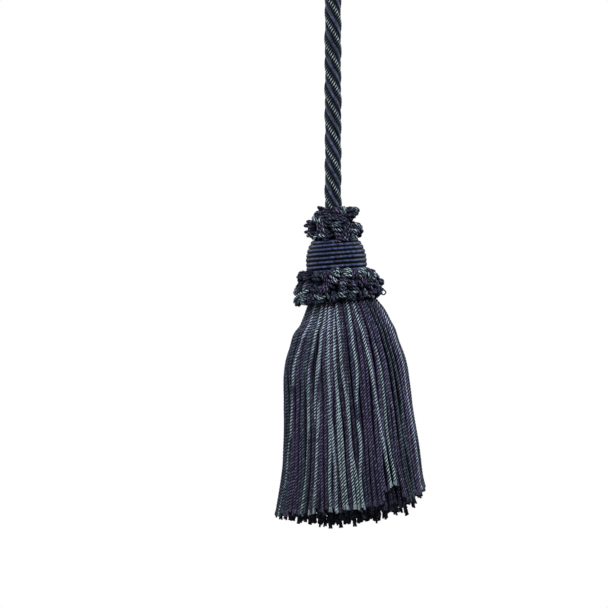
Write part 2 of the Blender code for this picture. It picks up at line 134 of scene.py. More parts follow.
@dataclass(frozen=True)
class YarnFinish:
    """Dyed cotton and viscose yarn, spun and then plied.

    The plies show the finish's own colours on their crests, and the grooves between them
    get a dark colour that is painted shade, which gives the slanting flecks along each
    strand. Spun fibres scatter the light, so the yarn is matt and has next to no highlight.
    """

    name: str
    plies: tuple[str, ...]
    # The colour of the grooves between the plies: painted shade.
    groove_shade: str
    # The lightest colour a fleck gets, so that none turns white.
    lightest: str = "c5dfea"
    roughness: float = 0.70
    specular: float = 0.12
    crest_start: float = 0.40
    crest_end: float = 0.95
    # Painted shade from the facing attribute: the facings over which it fades out, and how dark it
    # makes the colour.
    shade_start: float = -0.1
    shade_end: float = 0.75
    shade_level: float = 0.55
    tone_low: float = 0.75
    tone_high: float = 1.25
    dye_patch: float = 14.0 * MM
    dye_contrast: float = 0.15
    # Real fibres are much finer: their noise is drawn as coarse as it needs to show.
    fibre_size: float = 0.22 * MM
    fibre_layers: float = 2.0
    fibre_contrast: float = 0.35
    fibre_height: float = 0.05 * MM
    bump_strength: float = 0.6
    # The part of a noise's range in which nearly all of it lies.
    noise_span: tuple[float, float] = (0.3, 0.7)

    def material(self) -> bpy.types.Material:
        """Builds the finish as a material.

        Returns:
            A material that reads the piece's own UV map and its tone and facing attributes.
        """
        made = bpy.data.materials.new(self.name)
        made.use_nodes = True
        tree = made.node_tree
        tree.nodes.clear()
        wrap = add_node(tree, "ShaderNodeUVMap", {"uv_map": UV_NAME})
        split = add_node(tree, "ShaderNodeSeparateXYZ", {}, {"Vector": wrap.outputs["UV"]})
        around = split.outputs["Y"]
        fibre = self._fibre(tree)
        toned = self._toned(tree, self._ply_colours(tree, around), fibre)
        # Input 0 is the share of the second colour, and 6 and 7 are the two colours.
        # The first is the grooves' painted shade.
        colour = add_node(
            tree, "ShaderNodeMix", {"data_type": "RGBA", 6: srgb(self.groove_shade)},
            {0: self._crest(tree, around), 7: toned},
        )
        bump = add_node(
            tree, "ShaderNodeBump",
            {"Strength": self.bump_strength, "Distance": self.fibre_height}, {"Height": fibre},
        )
        shader = add_node(
            tree, "ShaderNodeBsdfPrincipled",
            {
                "Roughness": self.roughness, "Metallic": 0.0, "IOR": 1.5,
                "Specular IOR Level": self.specular,
            },
            {"Base Color": colour.outputs[2], "Normal": bump.outputs["Normal"]},
        )
        add_node(tree, "ShaderNodeOutputMaterial", {}, {"Surface": shader.outputs["BSDF"]})
        return made

    def _fibre(self, tree: Tree) -> Socket:
        """Draws the fine unevenness of the fibres.

        Args:
            tree: The material's node tree.

        Returns:
            The unevenness, about 0.5.
        """
        place = add_node(tree, "ShaderNodeTexCoord")
        # Each finer layer of the noise halves its size, down to the fibres'.
        coarsest = 2.0 ** self.fibre_layers * self.fibre_size
        fibre = add_node(
            tree, "ShaderNodeTexNoise",
            {"Scale": 1.0 / coarsest, "Detail": self.fibre_layers, "Roughness": 0.6},
            {"Vector": place.outputs["Object"]},
        )
        return fibre.outputs["Fac"]

    def _crest(self, tree: Tree, around: Socket) -> Socket:
        """Finds the plies' crests, away from which the grooves' painted shade shows.

        Args:
            tree: The material's node tree.
            around: How far round the yarn a point lies, from 0 to 1.

        Returns:
            0 in the grooves between the plies, and 1 along their crests.
        """
        turns = add_node(
            tree, "ShaderNodeMath", {"operation": "MULTIPLY", 1: float(len(self.plies))},
            {0: around},
        )
        height = add_node(
            tree, "ShaderNodeMath", {"operation": "PINGPONG", 1: 0.5}, {0: turns.outputs[0]}
        )
        crest = add_node(
            tree, "ShaderNodeMapRange",
            {
                "interpolation_type": "SMOOTHSTEP", "From Min": 0.5 * self.crest_start,
                "From Max": 0.5 * self.crest_end,
            },
            {"Value": height.outputs[0]},
        )
        return crest.outputs["Result"]

    def _ply_colours(self, tree: Tree, around: Socket) -> Socket:
        """Gives each ply its own colour.

        Args:
            tree: The material's node tree.
            around: How far round the yarn a point lies, from 0 to 1.

        Returns:
            The colour of the ply that a point lies on.
        """
        ramp = add_node(tree, "ShaderNodeValToRGB", {}, {"Fac": around})
        ramp.color_ramp.interpolation = "CONSTANT"
        stops = ramp.color_ramp.elements
        while len(stops) < len(self.plies):
            stops.new(1.0)
        for index, code in enumerate(self.plies):
            stops[index].position = index / len(self.plies)
            stops[index].color = srgb(code)
        return ramp.outputs["Color"]

    def _toned(self, tree: Tree, colour: Socket, fibre: Socket) -> Socket:
        """Varies a colour: by strand, by dye patch, by painted shade where it lies deep, and by
        fibre.

        Args:
            tree: The material's node tree.
            colour: The colour to vary.
            fibre: The fibres' unevenness.

        Returns:
            The varied colour.
        """
        tone = add_node(tree, "ShaderNodeAttribute", {"attribute_name": TONE_NAME})
        facing = add_node(tree, "ShaderNodeAttribute", {"attribute_name": FACING_NAME})
        place = add_node(tree, "ShaderNodeTexCoord")
        patch = add_node(
            tree, "ShaderNodeTexNoise",
            {"Scale": 1.0 / self.dye_patch, "Detail": 1.0, "Roughness": 0.5},
            {"Vector": place.outputs["Object"]},
        )
        patch_levels = (1.0 - self.dye_contrast, 1.0 + self.dye_contrast)
        # The facing attribute paints shade where a point faces away from the way out or lies deep.
        painted_shade_span = (self.shade_start, self.shade_end)
        fibre_levels = (1.0 - self.fibre_contrast, 1.0 + self.fibre_contrast)
        for value, span, levels, change in (
            (tone.outputs["Fac"], (0.0, 1.0), (self.tone_low, self.tone_high), "LINEAR"),
            (patch.outputs["Fac"], self.noise_span, patch_levels, "LINEAR"),
            (facing.outputs["Fac"], painted_shade_span, (self.shade_level, 1.0), "SMOOTHSTEP"),
            (fibre, self.noise_span, fibre_levels, "LINEAR"),
        ):
            level = add_node(
                tree, "ShaderNodeMapRange",
                {
                    "interpolation_type": change, "From Min": span[0], "From Max": span[1],
                    "To Min": levels[0], "To Max": levels[1],
                },
                {"Value": value},
            )
            varied = add_node(
                tree, "ShaderNodeVectorMath", {"operation": "SCALE"},
                {0: colour, "Scale": level.outputs["Result"]},
            )
            colour = varied.outputs["Vector"]
        limited = add_node(
            tree, "ShaderNodeVectorMath", {"operation": "MINIMUM", 1: srgb(self.lightest)[:3]},
            {0: colour},
        )
        return limited.outputs["Vector"]


@dataclass(frozen=True)
class YarnSection:
    """The outline of a plied yarn that is cut across: a lobe for each ply.

    The roundness is an exponent: the lower, the fuller the lobes.
    """

    radius: float
    plies: int = 3
    points_per_ply: int = 3
    groove_share: float = 0.66
    roundness: float = 0.6

    def points(self) -> list[tuple[float, float]]:
        """Draws the outline.

        Returns:
            Its points, each ply starting at its groove.
        """
        count = self.plies * self.points_per_ply
        made = []
        for index in range(count):
            phase = (index % self.points_per_ply) / self.points_per_ply
            swell = math.sin(math.pi * phase) ** self.roundness if phase else 0.0
            radius = self.radius * (self.groove_share + (1.0 - self.groove_share) * swell)
            angle = math.tau * index / count
            made.append((radius * math.cos(angle), radius * math.sin(angle)))
        return made

    def guide(self) -> bpy.types.Object:
        """Adds the outline as a closed flat curve.

        Returns:
            The curve, for a sweep to follow.
        """
        data = bpy.data.curves.new("section", "CURVE")
        data.dimensions = "2D"
        spline = data.splines.new("POLY")
        outline = self.points()
        spline.points.add(len(outline) - 1)
        for point, (x, y) in zip(spline.points, outline):
            point.co = (x, y, 0.0, 1.0)
        spline.use_cyclic_u = True
        guide = bpy.data.objects.new("section", data)
        bpy.context.scene.collection.objects.link(guide)
        return guide


@dataclass
class YarnRun:
    """One length of yarn: its line, its twist, and how thick and how light it is.

    Outside holds the way that faces out of the piece at each point of the line, as a unit
    vector, or a shorter one where the yarn lies deep among others. The material paints shade
    where the yarn faces away from it, and the more the shorter it is.
    """

    line: np.ndarray
    twist: np.ndarray
    fullness: np.ndarray
    outside: np.ndarray
    tone: float
    dye: int = 0


def smooth_line(points: np.ndarray, step: float) -> np.ndarray:
    """Draws a smooth curve through points and samples it evenly.

    Args:
        points: The points that the curve passes, one a row.
        step: The spacing that the samples come close to.

    Returns:
        The samples, one a row, the first and last points among them.
    """
    ends = np.vstack([2.0 * points[0] - points[1], points, 2.0 * points[-1] - points[-2]])
    a, b, c, d = ends[:-3, None], ends[1:-2, None], ends[2:-1, None], ends[3:, None]
    t = np.linspace(0.0, 1.0, SPAN_SAMPLES, endpoint=False)[None, :, None]
    fine = 0.5 * (
        2.0 * b + (c - a) * t + (2.0 * a - 5.0 * b + 4.0 * c - d) * t ** 2
        + (3.0 * b - a - 3.0 * c + d) * t ** 3
    )
    fine = np.vstack([fine.reshape(-1, points.shape[1]), points[-1]])
    return evenly(fine, step)


def evenly(line: np.ndarray, step: float) -> np.ndarray:
    """Samples a line at an even step.

    Args:
        line: The line's points, one a row.
        step: The spacing that the samples come close to.

    Returns:
        The samples, one a row.
    """
    along = distances(line)
    count = max(2, round(along[-1] / step) + 1)
    at = np.linspace(0.0, along[-1], count)
    return np.column_stack([np.interp(at, along, line[:, k]) for k in range(line.shape[1])])


def distances(line: np.ndarray) -> np.ndarray:
    """Returns how far along a line each of its points lies."""
    runs = np.linalg.norm(np.diff(line, axis=0), axis=1)
    return np.concatenate([[0.0], np.cumsum(runs)])


def table_curve(rows: tuple[tuple[float, ...], ...], at: np.ndarray, column: int) -> np.ndarray:
    """Reads a column of a table of millimetres along a smooth curve through its rows.

    Args:
        rows: The table, its first column rising.
        at: Where to read it, in metres.
        column: The column to read.

    Returns:
        The column's values in metres, level beyond the table's ends.
    """
    keys = np.array([row[0] for row in rows]) * MM
    values = np.array([row[column] for row in rows]) * MM
    slopes = np.gradient(values, keys)
    where = np.clip(at, keys[0], keys[-1])
    low = np.clip(np.searchsorted(keys, where, side="right") - 1, 0, len(keys) - 2)
    span = keys[low + 1] - keys[low]
    t = (where - keys[low]) / span
    return (
        (2 * t ** 3 - 3 * t ** 2 + 1) * values[low]
        + (t ** 3 - 2 * t ** 2 + t) * span * slopes[low]
        + (3 * t ** 2 - 2 * t ** 3) * values[low + 1]
        + (t ** 3 - t ** 2) * span * slopes[low + 1]
    )


def lean_into_frame(line: np.ndarray) -> np.ndarray:
    """Takes points from the tassel's own axis, with z as minus the depth, into the frame."""
    return turn_into_frame(line) + np.array([0.0, 0.0, -CORD_DROP])


def turn_into_frame(ways: np.ndarray) -> np.ndarray:
    """Turns directions about the tassel's own axis into the frame."""
    return ways @ np.array(Matrix.Rotation(-TASSEL_LEAN, 3, "Y")).T


def about_axis(
    radius: np.ndarray | float, bearing: np.ndarray, depth: np.ndarray
) -> np.ndarray:
    """Places points about the tassel's own axis.

    Args:
        radius: How far from the axis they lie.
        bearing: Their bearings, from the front towards the right.
        depth: How deep below the cord's foot they lie.

    Returns:
        The points, one a row.
    """
    return np.column_stack([radius * np.sin(bearing), -radius * np.cos(bearing), -depth])


def away_from_axis(line: np.ndarray) -> np.ndarray:
    """Finds the way out from the tassel's own axis at each point of a line.

    Args:
        line: The line's points, one a row.

    Returns:
        A level unit vector for each point.
    """
    level = line * np.array([1.0, 1.0, 0.0])
    return level / (np.linalg.norm(level, axis=1)[:, None] + NEARLY_NOTHING)


def leaned_run(
    line: np.ndarray,
    twist: np.ndarray,
    outside: np.ndarray,
    tone: float,
    dye: Dye = Dye.INK,
    fullness: np.ndarray | float = 1.0,
) -> YarnRun:
    """Takes a length of yarn from the tassel's own axis into the frame.

    Args:
        line: Its line.
        twist: Its turn at each point.
        outside: The way out at each point, shorter where the yarn lies deep, for painted shade.
        tone: How light it is, from 0 to 1.
        dye: Its dye lot.
        fullness: How thick it is, as a share of its section.

    Returns:
        The length of yarn in the frame.
    """
    return YarnRun(
        lean_into_frame(line), twist, fullness * np.ones(len(line)), turn_into_frame(outside),
        tone, dye.value,
    )


def heading_winding(
    radius: float, top: float, bottom: float, turns: float, steps_per_turn: int, tone: float
) -> YarnRun:
    """Winds a heading, which holds the roots of yarns and lies deep among them, in painted shade.

    Args:
        radius: How far from the axis it lies.
        top: The depth of its first turn.
        bottom: The depth of its last turn.
        turns: How often it goes round.
        steps_per_turn: How many points a turn has.
        tone: How light it is, from 0 to 1.

    Returns:
        The heading's length of yarn, in the frame.
    """
    angles = np.linspace(0.0, math.tau * turns, round(turns * steps_per_turn))
    line = about_axis(radius, angles, np.linspace(top, bottom, len(angles)))
    return leaned_run(line, angles, HEADING_OPENNESS * away_from_axis(line), tone)


def deselect() -> None:
    """Leaves nothing selected, so that an operator acts on one piece alone."""
    bpy.ops.object.select_all(action="DESELECT")


def pick(piece: bpy.types.Object) -> None:
    """Selects one object alone and makes it the active one.

    Args:
        piece: The object.
    """
    deselect()
    piece.select_set(True)
    bpy.context.view_layer.objects.active = piece


def sweep_yarn(
    name: str,
    runs: list[YarnRun],
    section: YarnSection,
    finishes: list[bpy.types.Material],
    upright: bool = False,
) -> bpy.types.Object:
    """Sweeps a plied section along every run, and makes one mesh of them.

    Args:
        name: The piece's name.
        runs: The lengths of yarn.
        section: The outline that is swept.
        finishes: The piece's materials, in the order of the runs' dye numbers.
        upright: Whether the section keeps its own up, as on a level winding.

    Returns:
        The piece, closed and shaded, with a UV map round the yarn and a tone attribute.
    """
    guide = section.guide()
    data = bpy.data.curves.new(name, "CURVE")
    data.dimensions = "3D"
    data.bevel_mode = "OBJECT"
    data.bevel_object = guide
    data.use_fill_caps = True
    data.twist_mode = "Z_UP" if upright else "MINIMUM"
    for finish in finishes:
        data.materials.append(finish)
    for run in runs:
        spline = data.splines.new("POLY")
        spline.points.add(len(run.line) - 1)
        homogeneous = np.column_stack([run.line, np.ones(len(run.line))])
        spline.points.foreach_set("co", homogeneous.ravel())
        spline.points.foreach_set("tilt", run.twist)
        spline.points.foreach_set("radius", run.fullness)
        spline.material_index = run.dye
        spline.use_smooth = True
    piece = bpy.data.objects.new(name, data)
    bpy.context.scene.collection.objects.link(piece)
    pick(piece)
    bpy.ops.object.convert(target="MESH")
    bpy.data.objects.remove(guide, do_unlink=True)
    write_attributes(piece.data, runs, len(section.points()))
    close_ends(piece)
    return piece


def write_attributes(mesh: bpy.types.Mesh, runs: list[YarnRun], around: int) -> None:
    """Writes each run's tone on its points, and how far each point faces out, for painted shade.

    A converted curve holds two caps for each run first, from the last run to the first, and
    then each run's rings in order.

    Args:
        mesh: The converted curve.
        runs: The lengths of yarn that it was made of.
        around: How many points a ring has.
    """
    places = np.empty(3 * len(mesh.vertices), np.float32)
    mesh.vertices.foreach_get("co", places)
    places = places.reshape(-1, 3)
    first = 2 * around * len(runs)
    cap_facing, ring_facing = [], []
    for run in runs:
        count = around * len(run.line)
        rings = places[first:first + count].reshape(-1, around, 3)
        away = rings - run.line[:, None, :]
        away /= np.linalg.norm(away, axis=2, keepdims=True) + NEARLY_NOTHING
        facing = np.einsum("nak,nk->na", away, run.outside)
        ring_facing.append(facing.ravel())
        cap_facing.append(np.concatenate([facing[-1], facing[0]]))
        first += count
    tones = [np.full(2 * around, run.tone) for run in reversed(runs)]
    tones += [np.full(around * len(run.line), run.tone) for run in runs]
    for name, values in (
        (TONE_NAME, tones), (FACING_NAME, [*reversed(cap_facing), *ring_facing]),
    ):
        attribute = mesh.attributes.new(name, "FLOAT", "POINT")
        attribute.data.foreach_set("value", np.concatenate(values).astype(np.float32))


def close_ends(piece: bpy.types.Object) -> None:
    """Welds the caps on, and shades the piece smooth but for its cut edges.

    Args:
        piece: The converted curve.
    """
    pick(piece)
    bpy.ops.object.mode_set(mode="EDIT")
    bpy.ops.mesh.select_all(action="SELECT")
    bpy.ops.mesh.remove_doubles(threshold=WELD_DISTANCE)
    bpy.ops.mesh.normals_make_consistent(inside=False)
    bpy.ops.mesh.select_all(action="DESELECT")
    bpy.ops.object.mode_set(mode="OBJECT")
    bpy.ops.object.shade_smooth_by_angle(angle=SHARP_ANGLE)
    deselect()


def place_piece(piece: bpy.types.Object, slot: str, *nodes: str) -> None:
    """Sets a piece on the frame in place of CAD nodes, and reports it.

    Args:
        piece: The finished piece.
        slot: The name of a material slot; not used.
        nodes: The CAD nodes that it stands for.
    """
    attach(piece, "root")
    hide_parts(*nodes)
    piece.data.calc_loop_triangles()
    log.info("%s: %d triangles", piece.name, len(piece.data.loop_triangles))


# The yarns' dye lots. Crest colours come first, and last the grooves' dark colour, which is painted
# shade.
DYE_LOTS = {
    Dye.INK: (("474c66", "3a3f58", "545976"), "10121f"),
    Dye.PLUM: (("615e80", "524f6e", "6e6a8c"), "131020"),
    Dye.SLATE: (("505d6d", "424e5d", "5c6a7a"), "111521"),
    Dye.TEAL: (("b4cbd4", "9eb6c0", "c8dbe3"), "161f2b"),
}


def yarn_finishes(use: str, plies: int, **changes: float) -> list[bpy.types.Material]:
    """Makes one material for each dye lot.

    Args:
        use: What the yarn is, as the start of the materials' names.
        plies: How many plies the yarn has.
        changes: Settings of the finish that differ from its usual ones.

    Returns:
        The materials, in the order of Dye.
    """
    finishes = []
    for dye in Dye:
        colours, groove_shade = DYE_LOTS[dye]
        spread = tuple(colours[ply % len(colours)] for ply in range(plies))
        finish = YarnFinish(f"{use}_{dye.name.lower()}", spread, groove_shade, **changes)
        finishes.append(finish.material())
    return finishes


@dataclass
class HangingRope:
    """The laid cord, from the head up to its hanging loop and back to the binding.

    Three thick strands of light twisted yarn and three thinner satin ones lie in turn.
    """

    radius: float = 3.1 * MM
    lay: float = 27.0 * MM
    strands: int = 6
    light_share: float = 1.10
    satin_share: float = 0.94
    satin_depth: float = 0.25 * MM
    # The strands are drawn this much thicker, so that they are pressed together.
    press: float = 1.04
    yarns_per_strand: int = 4
    groove_share: float = 0.76
    yarn_lay: float = 3.9 * MM
    satin_lay: float = -40.0 * MM
    step: float = 0.5 * MM
    first_turn: float = math.radians(110.0)
    tail_end: float = -45.2 * MM
    seed: int = 21
    tones: tuple[float, float] = (0.4, 0.6)
    # The strands rise and sink a little, and get a little thicker and thinner, along the cord.
    unevenness: float = 0.03
    rise_wave: float = 7.0 * MM
    rise_shift: float = 1.7
    swell_wave: float = 4.3 * MM
    swell_shift: float = 2.1

    # The same route as the cord's solids take, as (x, z) in millimetres.
    route_mm: tuple[tuple[float, float], ...] = (
        (0.70, -152.0), (0.36, -146.0), (0.06, -141.0), (0.0, -136.0), (0.0, -120.0),
        (0.0, -104.0), (0.0, -88.0), (0.0, -72.0), (-0.25, -65.5), (-1.35, -59.0),
        (-2.65, -52.5), (-3.12, -48.4), (-3.15, -46.4),
    )
    loop_half_mm: tuple[tuple[float, float], ...] = (
        (-3.15, -35.6), (-3.2, -33.6), (-4.3, -30.0), (-6.6, -26.2), (-9.7, -21.6),
        (-12.3, -16.4), (-13.5, -10.5), (-12.5, -5.2), (-9.6, -1.0), (-5.2, 1.9), (0.0, 3.0),
    )

    def middle_line(self) -> np.ndarray:
        """Draws the cord's centreline.

        Returns:
            Its points, sampled every step.
        """
        mirrored = [(-x, z) for x, z in reversed(self.loop_half_mm[:-1])]
        tail = [(-self.loop_half_mm[0][0], self.tail_end / MM)]
        pairs = np.array([*self.route_mm, *self.loop_half_mm, *mirrored, *tail]) * MM
        points = np.column_stack([pairs[:, 0], np.zeros(len(pairs)), pairs[:, 1]])
        return smooth_line(points, self.step)

    def strand_runs(self, middle: np.ndarray) -> list[YarnRun]:
        """Lays the strands round the centreline, twisted light ones and satin ones in turn.

        Args:
            middle: The cord's centreline.

        Returns:
            One run for each strand.
        """
        share = math.sin(math.pi / self.strands)
        even_radius = self.radius * share / (1.0 + share)
        along = distances(middle)
        ahead = np.gradient(middle, axis=0)
        ahead /= np.linalg.norm(ahead, axis=1)[:, None]
        front = np.tile([0.0, -1.0, 0.0], (len(middle), 1))
        side = np.cross(front, ahead)
        chance = random.Random(self.seed)
        runs = []
        for k in range(self.strands):
            satin = k % 2
            strand_radius = even_radius * (self.satin_share if satin else self.light_share)
            offset = self.radius - strand_radius - (self.satin_depth if satin else 0.0)
            turn = self.first_turn + math.tau * (along / self.lay + k / self.strands)
            rise = 1.0 + self.unevenness * np.sin(along / self.rise_wave + self.rise_shift * k)
            outside = np.cos(turn)[:, None] * front + np.sin(turn)[:, None] * side
            line = middle + offset * rise[:, None] * outside
            twist = math.tau * distances(line) / (self.satin_lay if satin else self.yarn_lay)
            swell = 1.0 + self.unevenness * np.sin(along / self.swell_wave + self.swell_shift * k)
            fullness = strand_radius / self.radius * swell
            tone = chance.uniform(*self.tones)
            runs.append(YarnRun(line, twist, fullness, outside, tone, satin))
        return runs

    def finishes(self) -> list[bpy.types.Material]:
        """Makes the materials of the light strands and of the satin ones.

        Returns:
            The two materials, the light one first.
        """
        # The grooves between the strands are painted in shadow, by how far each point faces away.
        shading = {"shade_start": 0.74, "shade_end": 1.0, "shade_level": 0.10}
        # Plied cotton, dyed pale: short slanting flecks, bright against grooves of painted shade.
        light = YarnFinish(
            "plied_cotton_pale", ("b4cdd8", "9ab5c1", "c4dae2", "a5bfca"), "11121c", **shading,
            tone_low=0.78, tone_high=1.08,
        )
        # Viscose, hardly twisted: smooth and dark, with a faint sheen and fine grain.
        satin = YarnFinish(
            "satin_viscose_slate", ("3c445f", "363d55", "424a67", "39415b"), "242940", **shading,
            roughness=0.5, specular=0.15, crest_start=-0.4, crest_end=0.6, fibre_contrast=0.75,
            fibre_size=0.28 * MM,
        )
        return [light.material(), satin.material()]

    def build(self, binding: bpy.types.Object) -> bpy.types.Object:
        """Args:
            binding: The thread binding that closes its loop; not used.

        Returns:
            The cord, as one piece.
        """
        middle = self.middle_line()
        section = YarnSection(
            self.radius * self.press, self.yarns_per_strand, groove_share=self.groove_share
        )
        piece = sweep_yarn("laid_rope", self.strand_runs(middle), section, self.finishes())
        place_piece(piece, "laid_cord", "hanging_cord", "hanging_loop")
        return piece


@dataclass
class LoopWhipping:
    """The thread that is whipped round both legs of the loop."""

    top: float = -36.2 * MM
    bottom: float = -45.8 * MM
    half_width: float = 6.55 * MM
    half_depth: float = 3.45 * MM
    thread_radius: float = 0.44 * MM
    lay: float = 2.4 * MM
    steps_per_turn: int = 30
    tone: float = 0.5

    def build(self) -> bpy.types.Object:
        """Winds the thread down the legs, close turn by close turn.

        Returns:
            The whipping, as one piece.
        """
        height = self.top - self.bottom - 2.0 * self.thread_radius
        turns = height / (CLOSE_PITCH * self.thread_radius)
        angles = np.linspace(0.0, math.tau * turns, round(turns * self.steps_per_turn))
        fall = np.linspace(
            self.top - self.thread_radius, self.bottom + self.thread_radius, len(angles)
        )
        outside = np.column_stack([np.cos(angles), np.sin(angles), np.zeros(len(angles))])
        line = outside * np.array([self.half_width, self.half_depth, 0.0])
        line[:, 2] = fall
        twist = math.tau * distances(line) / self.lay
        run = YarnRun(line, twist, np.ones(len(line)), outside, self.tone, Dye.INK.value)
        section = YarnSection(self.thread_radius, groove_share=0.75)
        # Plied thread, dyed dark: fine flecks.
        finishes = yarn_finishes("plied_whipping_thread", 3)
        piece = sweep_yarn("loop_whipping", [run], section, finishes)
        place_piece(piece, "binding_thread", "loop_binding")
        return piece


@dataclass
class WoundHead:
    """The mould, covered with one satin cord that is wound round it from the top down."""

    cord_radius: float = 1.12 * MM
    row_pitch: float = 1.55 * MM
    top_depth: float = 12.4 * MM
    start_radius: float = 4.4 * MM
    steps_per_turn: int = 60
    outline_samples: int = 200
    tone: float = 0.5
    outline_mm: tuple[tuple[float, float], ...] = (
        # depth, radius
        (12.4, 7.8), (13.6, 8.7), (15.2, 9.7), (17.0, 10.35), (19.0, 10.75), (22.0, 10.8),
        (24.8, 10.5),
    )
    # The rows wander up and down a little, by a quick wave that comes and goes.
    wander: float = 0.05 * MM
    wander_rates: tuple[float, float] = (3.1, 0.37)
    wander_start: float = 0.6
    # The way out of a row, as its level part and its part upwards: its top is painted lit,
    # and the rest of it painted in shade.
    painted_light_tilt: tuple[float, float] = (0.97, 0.24)

    def winding_line(self) -> np.ndarray:
        """Draws the wound cord: flat turns on the top, then rows down the side.

        Returns:
            Its line about the tassel's own axis.
        """
        side_start = self.top_depth + 0.5 * self.row_pitch
        side_end = self.outline_mm[-1][0] * MM - 0.5 * self.row_pitch
        depths, radii = np.array(self.outline_mm).T * MM
        side = np.linspace(side_start, side_end, self.outline_samples)
        profile = [(self.start_radius, side_start)]
        profile += list(zip(np.interp(side, depths, radii) - self.cord_radius, side))
        profile = evenly(np.array(profile), self.row_pitch / self.steps_per_turn)
        angles = -math.tau * distances(profile) / self.row_pitch
        quick, slow = self.wander_rates
        wander = self.wander * np.sin(quick * angles + self.wander_start) * np.sin(slow * angles)
        return about_axis(profile[:, 0], angles, profile[:, 1] - wander)

    def build(self) -> bpy.types.Object:
        """Winds the cord and dresses it.

        Returns:
            The head, as one piece.
        """
        line = self.winding_line()
        level, up = self.painted_light_tilt
        outside = level * away_from_axis(line) + np.array([0.0, 0.0, up])
        run = leaned_run(line, np.zeros(len(line)), outside, self.tone)
        section = YarnSection(self.cord_radius, plies=1, points_per_ply=24, groove_share=1.0)
        # Untwisted satin viscose over a core: smooth rows with a faint sheen and a fine grain
        # along them. The narrow lit band along each row and the sharp dark line between each two
        # are painted light and shade.
        finish = YarnFinish(
            "satin_viscose_wound", ("3a4669",), "3a4669", roughness=0.5, shade_start=0.92,
            shade_end=0.998, shade_level=0.03, fibre_contrast=0.85, fibre_size=0.28 * MM,
            **PLAIN_CRESTS,
        )
        piece = sweep_yarn("head_winding", [run], section, [finish.material()], upright=True)
        place_piece(piece, "wound_cord", "wound_head")
        return piece


@dataclass(frozen=True)
class Hairpin:
    """One loop of yarn: out along one leg, round its bend, and back along the other.

    It stands away from its base, with its legs side by side. Its bend is moved by the
    spread and sinks by the droop, and the skew makes one leg longer than the other.
    """

    base: np.ndarray
    away: np.ndarray
    sideways: np.ndarray
    spread: np.ndarray
    reach: float
    width: float
    droop: float
    skew: float
    # The shape of one side: shares of the leg or the bend, and of half the width.
    leg_shape: tuple[tuple[float, float], ...] = ((0.0, 0.35), (0.45, 0.85), (1.0, 1.0))
    bend_shape: tuple[tuple[float, float], ...] = ((0.70, 0.72),)
    least_leg: float = 0.3

    def line(self, step: float) -> np.ndarray:
        """Draws the loop.

        Args:
            step: The spacing of its points.

        Returns:
            Its line, from one root to the other.
        """
        half = 0.5 * self.width
        leg = max(self.least_leg * self.reach, self.reach - half)
        bend = self.reach - leg
        going_out = [(out * leg, side * half) for out, side in self.leg_shape]
        going_out += [(leg + out * bend, side * half) for out, side in self.bend_shape]
        coming_back = [(out, -side) for out, side in reversed(going_out)]
        points = []
        for out, side in [*going_out, (self.reach, 0.0), *coming_back]:
            share = out / self.reach
            point = self.base + self.away * out * (1.0 + self.skew * side / self.width * share)
            point = point + self.sideways * side + self.spread * share
            points.append(point + np.array([0.0, 0.0, -self.droop * share ** 2]))
        return smooth_line(np.array(points), step)


